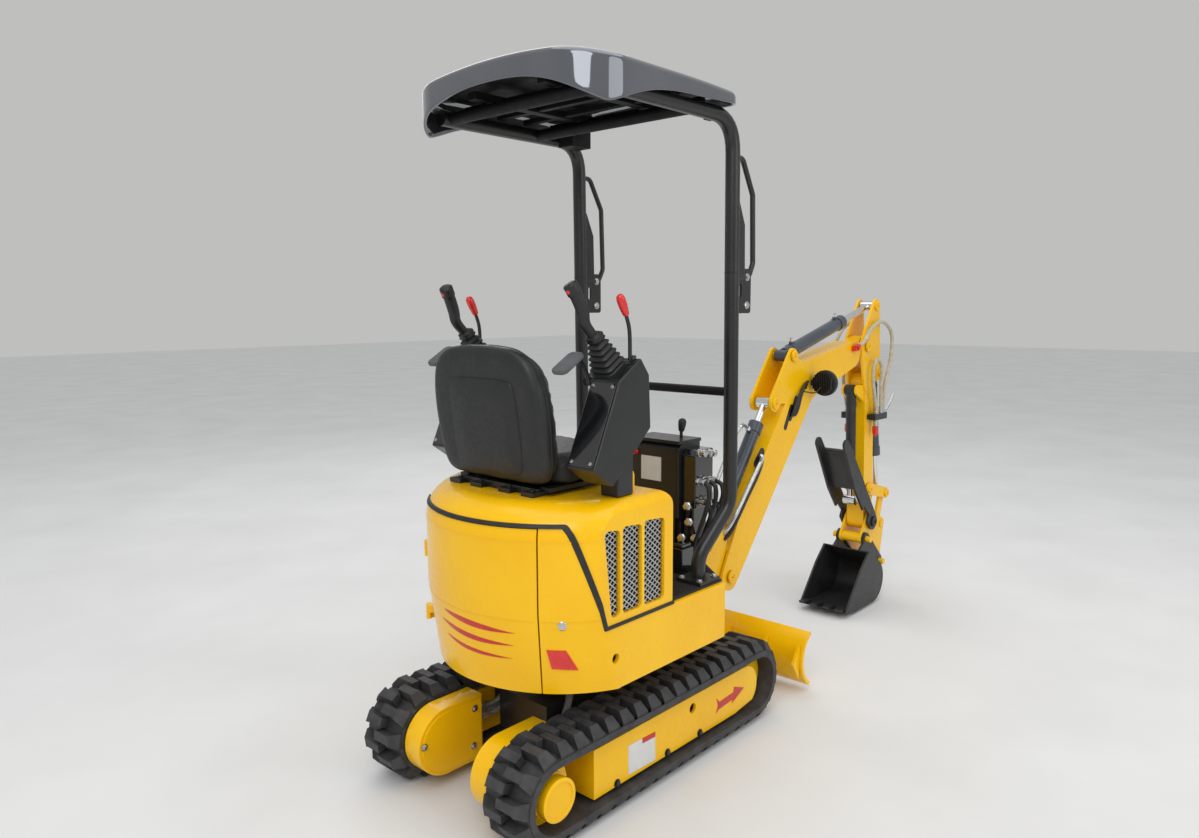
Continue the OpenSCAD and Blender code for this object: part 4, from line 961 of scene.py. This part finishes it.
# front console with its valve block
def make_front_console():
    shell, plate, valve, fittings, hoses, knobs = meshes(6)
    box(shell, (297, -167, 1022), (428, 53, 1034))
    prism(shell, [(298, 640), (298, 1004), (300.5, 1004), (300.5, 640)], -150, 36)
    prism(plate, [(298.4, 884), (298.4, 970), (296.8, 970), (296.8, 884)], -88, 2)
    for z in (1010, 978):
        lathe(knobs, [(0, 0), (9, 0), (9, 5), (6, 7), (6, 14), (0, 15)], P(298, 24, z), (-1, 0, 0), 16)
    prism(valve, [(318, 800), (318, 985), (336, 1004), (424, 1004), (424, 800)], -222, -165)
    prism(valve, [(330, 640), (330, 800), (410, 800), (410, 640)], -206, -168)
    box(valve, (232, -232, 588), (300, -150, 676))
    box(valve, (240, -226, 676), (294, -156, 690))
    rows = [(336, 996), (366, 992), (396, 990), (330, 896), (362, 896), (394, 896), (340, 826), (380, 826)]
    for i, (x, z) in enumerate(rows):
        lathe(fittings, [(0, 0), (13, 0), (13, 7), (10, 9), (10, 18), (12, 19), (12, 30), (8, 33), (0, 33)],
              P(x, -222, z), (0, -1, 0), 6 if i % 2 else 18)
        if i > 2:
            reach = 40 + 12 * (i % 3)
            hose(hoses, [(x, -250, z), (x, -250 - reach / 2, z - 18), (x - 6, -250 - reach / 2, z - 80),
                         (x - 20, -226, 700 - 8 * i), (x - 26, -196, 592)], 8)
    for x, y, z in ((273, -205, 812), (283, -205, 754), (312, -210, 692), (262, -190, 700)):
        lathe(fittings, [(0, 0), (15, 0), (15, 9), (11, 11), (11, 26), (0, 27)], P(x + 24, y, z), (-1, -0.4, 0.2), 6)
        hose(hoses, [(x + 10, y - 4, z), (x + 40, y, z - 6), (x + 52, y + 20, z - 50), (x + 50, y + 30, 590)], 9)
    piece("front_shell", shell, SATIN, bevel=0.003)
    piece("front_plate", plate, WHITE)
    piece("front_valve", valve, GLOSS, bevel=0.004)
    piece("front_fittings", fittings, ZINC)
    piece("front_hoses", hoses, BLACK_HOSE, sharp=60)
    piece("front_switches", knobs, RED_KNOB)


make_front_console()

# pins of the front
PINS = {"boom": [((800, 410), 59, 26), ((1122, 1090), 53, 27), ((1262, 1283), 57, 24)],
        "arm": [((1985, 1300), 53, 28), ((2075, 1495), 48, 24), ((2140, 1160), 48, 22)],
        "rocker": [((2050, 575), 60, 22), ((2240, 525), 60, 22)],
        "thumb": [((2058, 408), 80, 26)]}


def make_pins():
    for body, pins in PINS.items():
        bm = bmesh.new()
        for (x, z), half, r in pins:
            for s in SIDES:
                at = P(x, s * half, z)
                lathe(bm, [(0, -1), (r, -1), (r, 5), (r - 2, 7), (r * 0.55, 7), (r * 0.5, 5), (0, 5)], at,
                      (0, s, 0), 28)
                lathe(bm, [(0, 4), (4, 4), (4, 10), (2.4, 11), (2.4, 14), (0, 15)], at, (0, s, 0), 12)
                bolt(bm, P(x - r * 0.72, s * (half + 5.5), z - r * 0.4), (0, s, 0), 4.5)
        finish = BUCKET_BLACK if body == "thumb" else YELLOW
        piece(body + "_pins", bm, finish, body, sharp=40)


make_pins()

# cylinders: base pin, rod's pin, length of the barrel, its radius and its finish
CYLINDERS = {"boom": ((762, 604), (1122, 1090), 500, 28, BLUE_GREY),
             "arm": ((1262, 1283), (2075, 1495), 545, 30, BLUE_GREY),
             "bucket": ((2140, 1160), (2240, 525), 440, 27, BLUE_GREY),
             "thumb": ((1924, 1085), (1952, 528), 440, 24, BUCKET_BLACK),
             "blade": ((395, 262), (700, 232), 235, 25, BLUE_GREY)}


def make_cylinders():
    for name, (base, eye, length, r, finish) in CYLINDERS.items():
        paint, fittings = meshes(2)
        start = P(base[0], 0, base[1])
        along = (P(eye[0], 0, eye[1]) - start).normalized()
        out = Vector((-along.z, 0, along.x))
        if out.z < 0:
            out = -out
        gland = [(r - 4, -30), (r + 3.2, -30), (r + 4, -29), (r + 4, -3), (r + 2, 0), (r * 0.62, 0.6), (r * 0.6, -4)]
        lathe(paint, gland, start + along * length / MM, along, 36)
        lathe(paint, [(r - 2, 0), (r + 2.4, 1), (r + 2.4, 12), (r - 2, 13)], start + along * 0.062, along, 36)
        for at in (0.085, length / MM - 0.05):
            foot = start + along * at + out * r / MM
            lathe(paint, [(0, -6), (13, -6), (13, 7), (11, 9), (0, 9)], foot, out, 20)
            lathe(fittings, [(0, 8), (11, 8), (11, 16), (8, 18), (8, 25), (0, 25)], foot, out, 6)
        piece(name + "_gland", paint, finish, name + "_barrel", sharp=40)
        piece(name + "_ports", fittings, ZINC, name + "_barrel")


make_cylinders()


def spring_hose(bm, points, r=8.0):
    """A hose in a wound steel spring: a tube with a ridge for each turn."""
    path = smooth_path([P(*p) for p in points], 22)
    tube(bm, path, [r + (1.8 if i % 2 else 0) for i in range(len(path))], 14)


# boom: slots in painted shade, hoses, lamp
BOOM_FACE = -53
LAMP_AT = (1430, -116, 1158)
FIN_PITCH = 8.6


def make_boom():
    slot_shade, springs, hoses, lamp_body, lens, wire = meshes(6)
    along = (P(1030, 0, 905) - P(965, 0, 840)).normalized()
    place = frame_at(P(1000, BOOM_FACE + 0.5, 872), along, (0, -1, 0))
    # painted shade: thin black plates stand for the dark inside of the boom's hose slots
    slab(slot_shade, place, round_rect(96, 40, 19.5), 1.6)
    spring_hose(springs, [(1012, BOOM_FACE - 2, 880), (990, -72, 868), (955, -76, 838), (880, -76, 760),
                          (818, -72, 684), (790, -56, 628), (772, -36, 590)])
    hose(hoses, [(1020, BOOM_FACE - 2, 872), (1000, -66, 852), (950, -74, 800), (880, -72, 722), (826, -66, 650),
                 (796, -50, 590), (775, -36, 566)], 8)
    for x, z in ((1250, 1075), (1290, 1110)):
        place = frame_at(P(x - 20, BOOM_FACE + 0.5, z - 55), (0.55, 0, 1), (0, -1, 0))
        slab(slot_shade, place, round_rect(120, 26, 12.5), 1.4)
    for k in range(3):
        hose(hoses, [(1252 + 14 * k, BOOM_FACE - 2, 1022), (1258 + 14 * k, -66, 1050),
                     (1284 + 12 * k, -70, 1098 + 8 * k), (1330 + 10 * k, -62, 1130 + 10 * k),
                     (1372 + 8 * k, BOOM_FACE - 2, 1140 + 12 * k)], 7)
    x, y, z = LAMP_AT
    lathe(lamp_body, [(0, -14), (50, -14), (50, -6), (57, -4), (57, 14), (52, 18), (50, 18), (49, 14), (0, 14)],
          P(x, y, z), (1, 0, 0), 40)
    for i in range(-5, 6):
        half = sqrt(50 ** 2 - (FIN_PITCH * i) ** 2)
        fin_y = y + FIN_PITCH * i - 1.6
        box(lamp_body, (x - 30, fin_y, z - half), (x - 12, fin_y + 3.2, z + half))
    box(lamp_body, (x - 12, -64, z - 12), (x + 12, BOOM_FACE, z + 12))
    lathe(lens, [(0, 12), (48, 12), (48, 15), (0, 17)], P(x, y, z), (1, 0, 0), 40)
    hose(wire, [(1404, -112, 1140), (1380, -96, 1118), (1350, -70, 1122), (1334, BOOM_FACE - 1, 1130)], 3, 8)
    piece("boom_slot_shades", slot_shade, BLACK_HOSE, "boom")
    over_foot = ("swing_bracket", "boom", P(790, 0, 640), P(960, 0, 840))
    piece("boom_springs", springs, ZINC, over_foot, sharp=80)
    piece("boom_hoses", hoses, BLACK_HOSE, over_foot, sharp=60)
    piece("lamp_body", lamp_body, PLASTIC, "boom", hides=["work_lamp"])
    piece("lamp_lens", lens, LENS, "boom")
    piece("lamp_wire", wire, BLACK_HOSE, "boom", sharp=60)
    bm = bmesh.new()
    spring_hose(bm, [(987, 0, 997), (972, 8, 1008), (937, 22, 972), (884, 28, 887), (815, 24, 801), (768, 10, 736),
                     (770, 0, 703)], 7)
    piece("boom_cylinder_spring", bm, ZINC, "boom_barrel", sharp=80)


make_boom()

# auxiliary hoses, couplers
OUTER_LOOP = [(1847, 1307), (1902, 1330), (1966, 1384), (2069, 1418), (2169, 1385), (2207, 1320), (2192, 1214),
              (2144, 1110), (2123, 984)]
INNER_LOOP = [(2044, 986), (1998, 1120), (2002, 1205), (2041, 1232), (2085, 1198), (2089, 1093), (2096, 986)]
COUPLER_Y = 75
COUPLER_Z = 962
ARM_FACE = 44
FITTING_AXIS = (0.88, 0, 0.42)


def make_auxiliary():
    outer, inner, metal, caps, blocks, red, ends = meshes(7)
    for s in SIDES:
        y = s * COUPLER_Y
        hose(outer, [(x, y, z) for x, z in OUTER_LOOP], 9, 14)
        hose(inner, [(x, y + s * 4, z) for x, z in INNER_LOOP], 9, 14)
        for x, out in ((2044, 4), (2096, 4), (2123, 0)):
            lathe(metal, [(0, 0), (12, 0), (12, 10), (10, 12), (10, 34), (0, 35)], P(x, y + s * out, COUPLER_Z),
                  (0, 0, 1), 18)
        box(blocks, (2010, y - 16, 930), (2146, y + 18, COUPLER_Z))
        box(blocks, (2012, s * ARM_FACE, 934), (2070, s * 62, 958))
        lathe(metal, [(0, 0), (13, 0), (13, 8), (11, 10), (11, 34), (0, 36)], P(2050, y, 932), (0, 0, -1), 18)
        lathe(caps, [(0, 0), (15, 0), (15, 34), (12, 40), (5, 42), (5, 52), (0, 53)], P(2050, y, 896), (0, 0, -1), 18)
        hose(metal, [(2126, y, 950), (2160, y + s * 4, 972), (2205, y + s * 6, 1010), (2240, y + s * 6, 1046)],
             5, 10, 5)
        at = P(1826, s * 70, 1296)
        lathe(red, [(0, 0), (15, 0), (15, 20), (12, 22), (0, 22)], at, FITTING_AXIS, 6)
        lathe(ends, [(0, 20), (12, 20), (12, 34), (10, 36), (0, 36)], at, FITTING_AXIS, 18)
        box(red, (1806, s * 53, 1282), (1832, s * 76, 1306))
    over_joint = ("boom", "arm", P(1870, 0, 1307), P(2060, 0, 1307))
    piece("aux_outer_hoses", outer, HOSE, over_joint, sharp=60, hides=["aux_hoses"])
    piece("aux_loops", inner, HOSE, "arm", sharp=60)
    piece("coupler_metal", metal, ZINC, "arm")
    piece("coupler_blocks", blocks, SATIN, "arm", bevel=0.002, hides=["aux_couplers"])
    piece("coupler_caps", caps, RED_KNOB, "arm", sharp=40)
    piece("boom_red_fittings", red, RED_KNOB, "boom")
    piece("boom_hose_ends", ends, ZINC, "boom")


make_auxiliary()

# expanded mesh of the hood's windows: rear edge at the foot and at the top, then front edge
WINDOW_X = [(-296, -326, -258), (-246, -246, -160), (-148, -148, -52)]
WINDOW_Z = (612, 872)
DIAMOND = (23, 18)
STRAND_W = 3.2
STRANDS = range(-16, 34)
TOP_DROP = 8  # of a window's upper edge, to the front


def clip(outline, at, along):
    """Where a line enters and leaves a convex outline that runs anticlockwise, as distances along it."""
    low, high = -1e9, 1e9
    for (x0, z0), (x1, z1) in zip(outline, outline[1:] + outline[:1]):
        nx, nz = z1 - z0, x0 - x1
        slope = nx * along[0] + nz * along[1]
        gap = nx * (x0 - at[0]) + nz * (z0 - at[1])
        if abs(slope) < 1e-9:
            if gap < 0:
                return None
        elif slope > 0:
            high = min(high, gap / slope)
        else:
            low = max(low, gap / slope)
    return (low, high) if high - low > STRAND_W else None


def make_grilles():
    strands, shade_backs = meshes(2)
    skin_y = MM * max(abs(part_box("grilles")[0][1]), abs(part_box("grilles")[1][1]))
    long = hypot(*DIAMOND)
    for foot, top, front in WINDOW_X:

        def window(by, front_by):
            """The window's outline, wider by so much."""
            low, high = WINDOW_Z[0] - by, WINDOW_Z[1] + by
            return [(foot - by, low), (front + front_by, low), (front + front_by, high - TOP_DROP), (top - by, high)]

        for s in SIDES:
            # painted shade: dark plates behind the mesh stand for the shaded engine bay
            prism(shade_backs, window(8, 5), s * (skin_y - 8), s * (skin_y - 3.8))
            for rise in (-1, 1):
                along = Vector((DIAMOND[0] / long, rise * DIAMOND[1] / long))
                wide = Vector((-along.y, along.x)) * STRAND_W / 2
                lift = skin_y + (0 if rise > 0 else 1)
                for k in STRANDS:
                    at = Vector((front, WINDOW_Z[0] + DIAMOND[1] * k))
                    ends = clip(window(3, 3), at, along)
                    if ends:
                        a, b = [at + along * e for e in ends]
                        prism(strands, [a - wide, b - wide, b + wide, a + wide], s * (lift - 2.5), s * lift)
    piece("grille_mesh", strands, ZINC, hides=["grilles"])
    piece("grille_shade_backs", shade_backs, SHADE_BLACK)


make_grilles()

SCENE.view_settings.view_transform = "Standard"
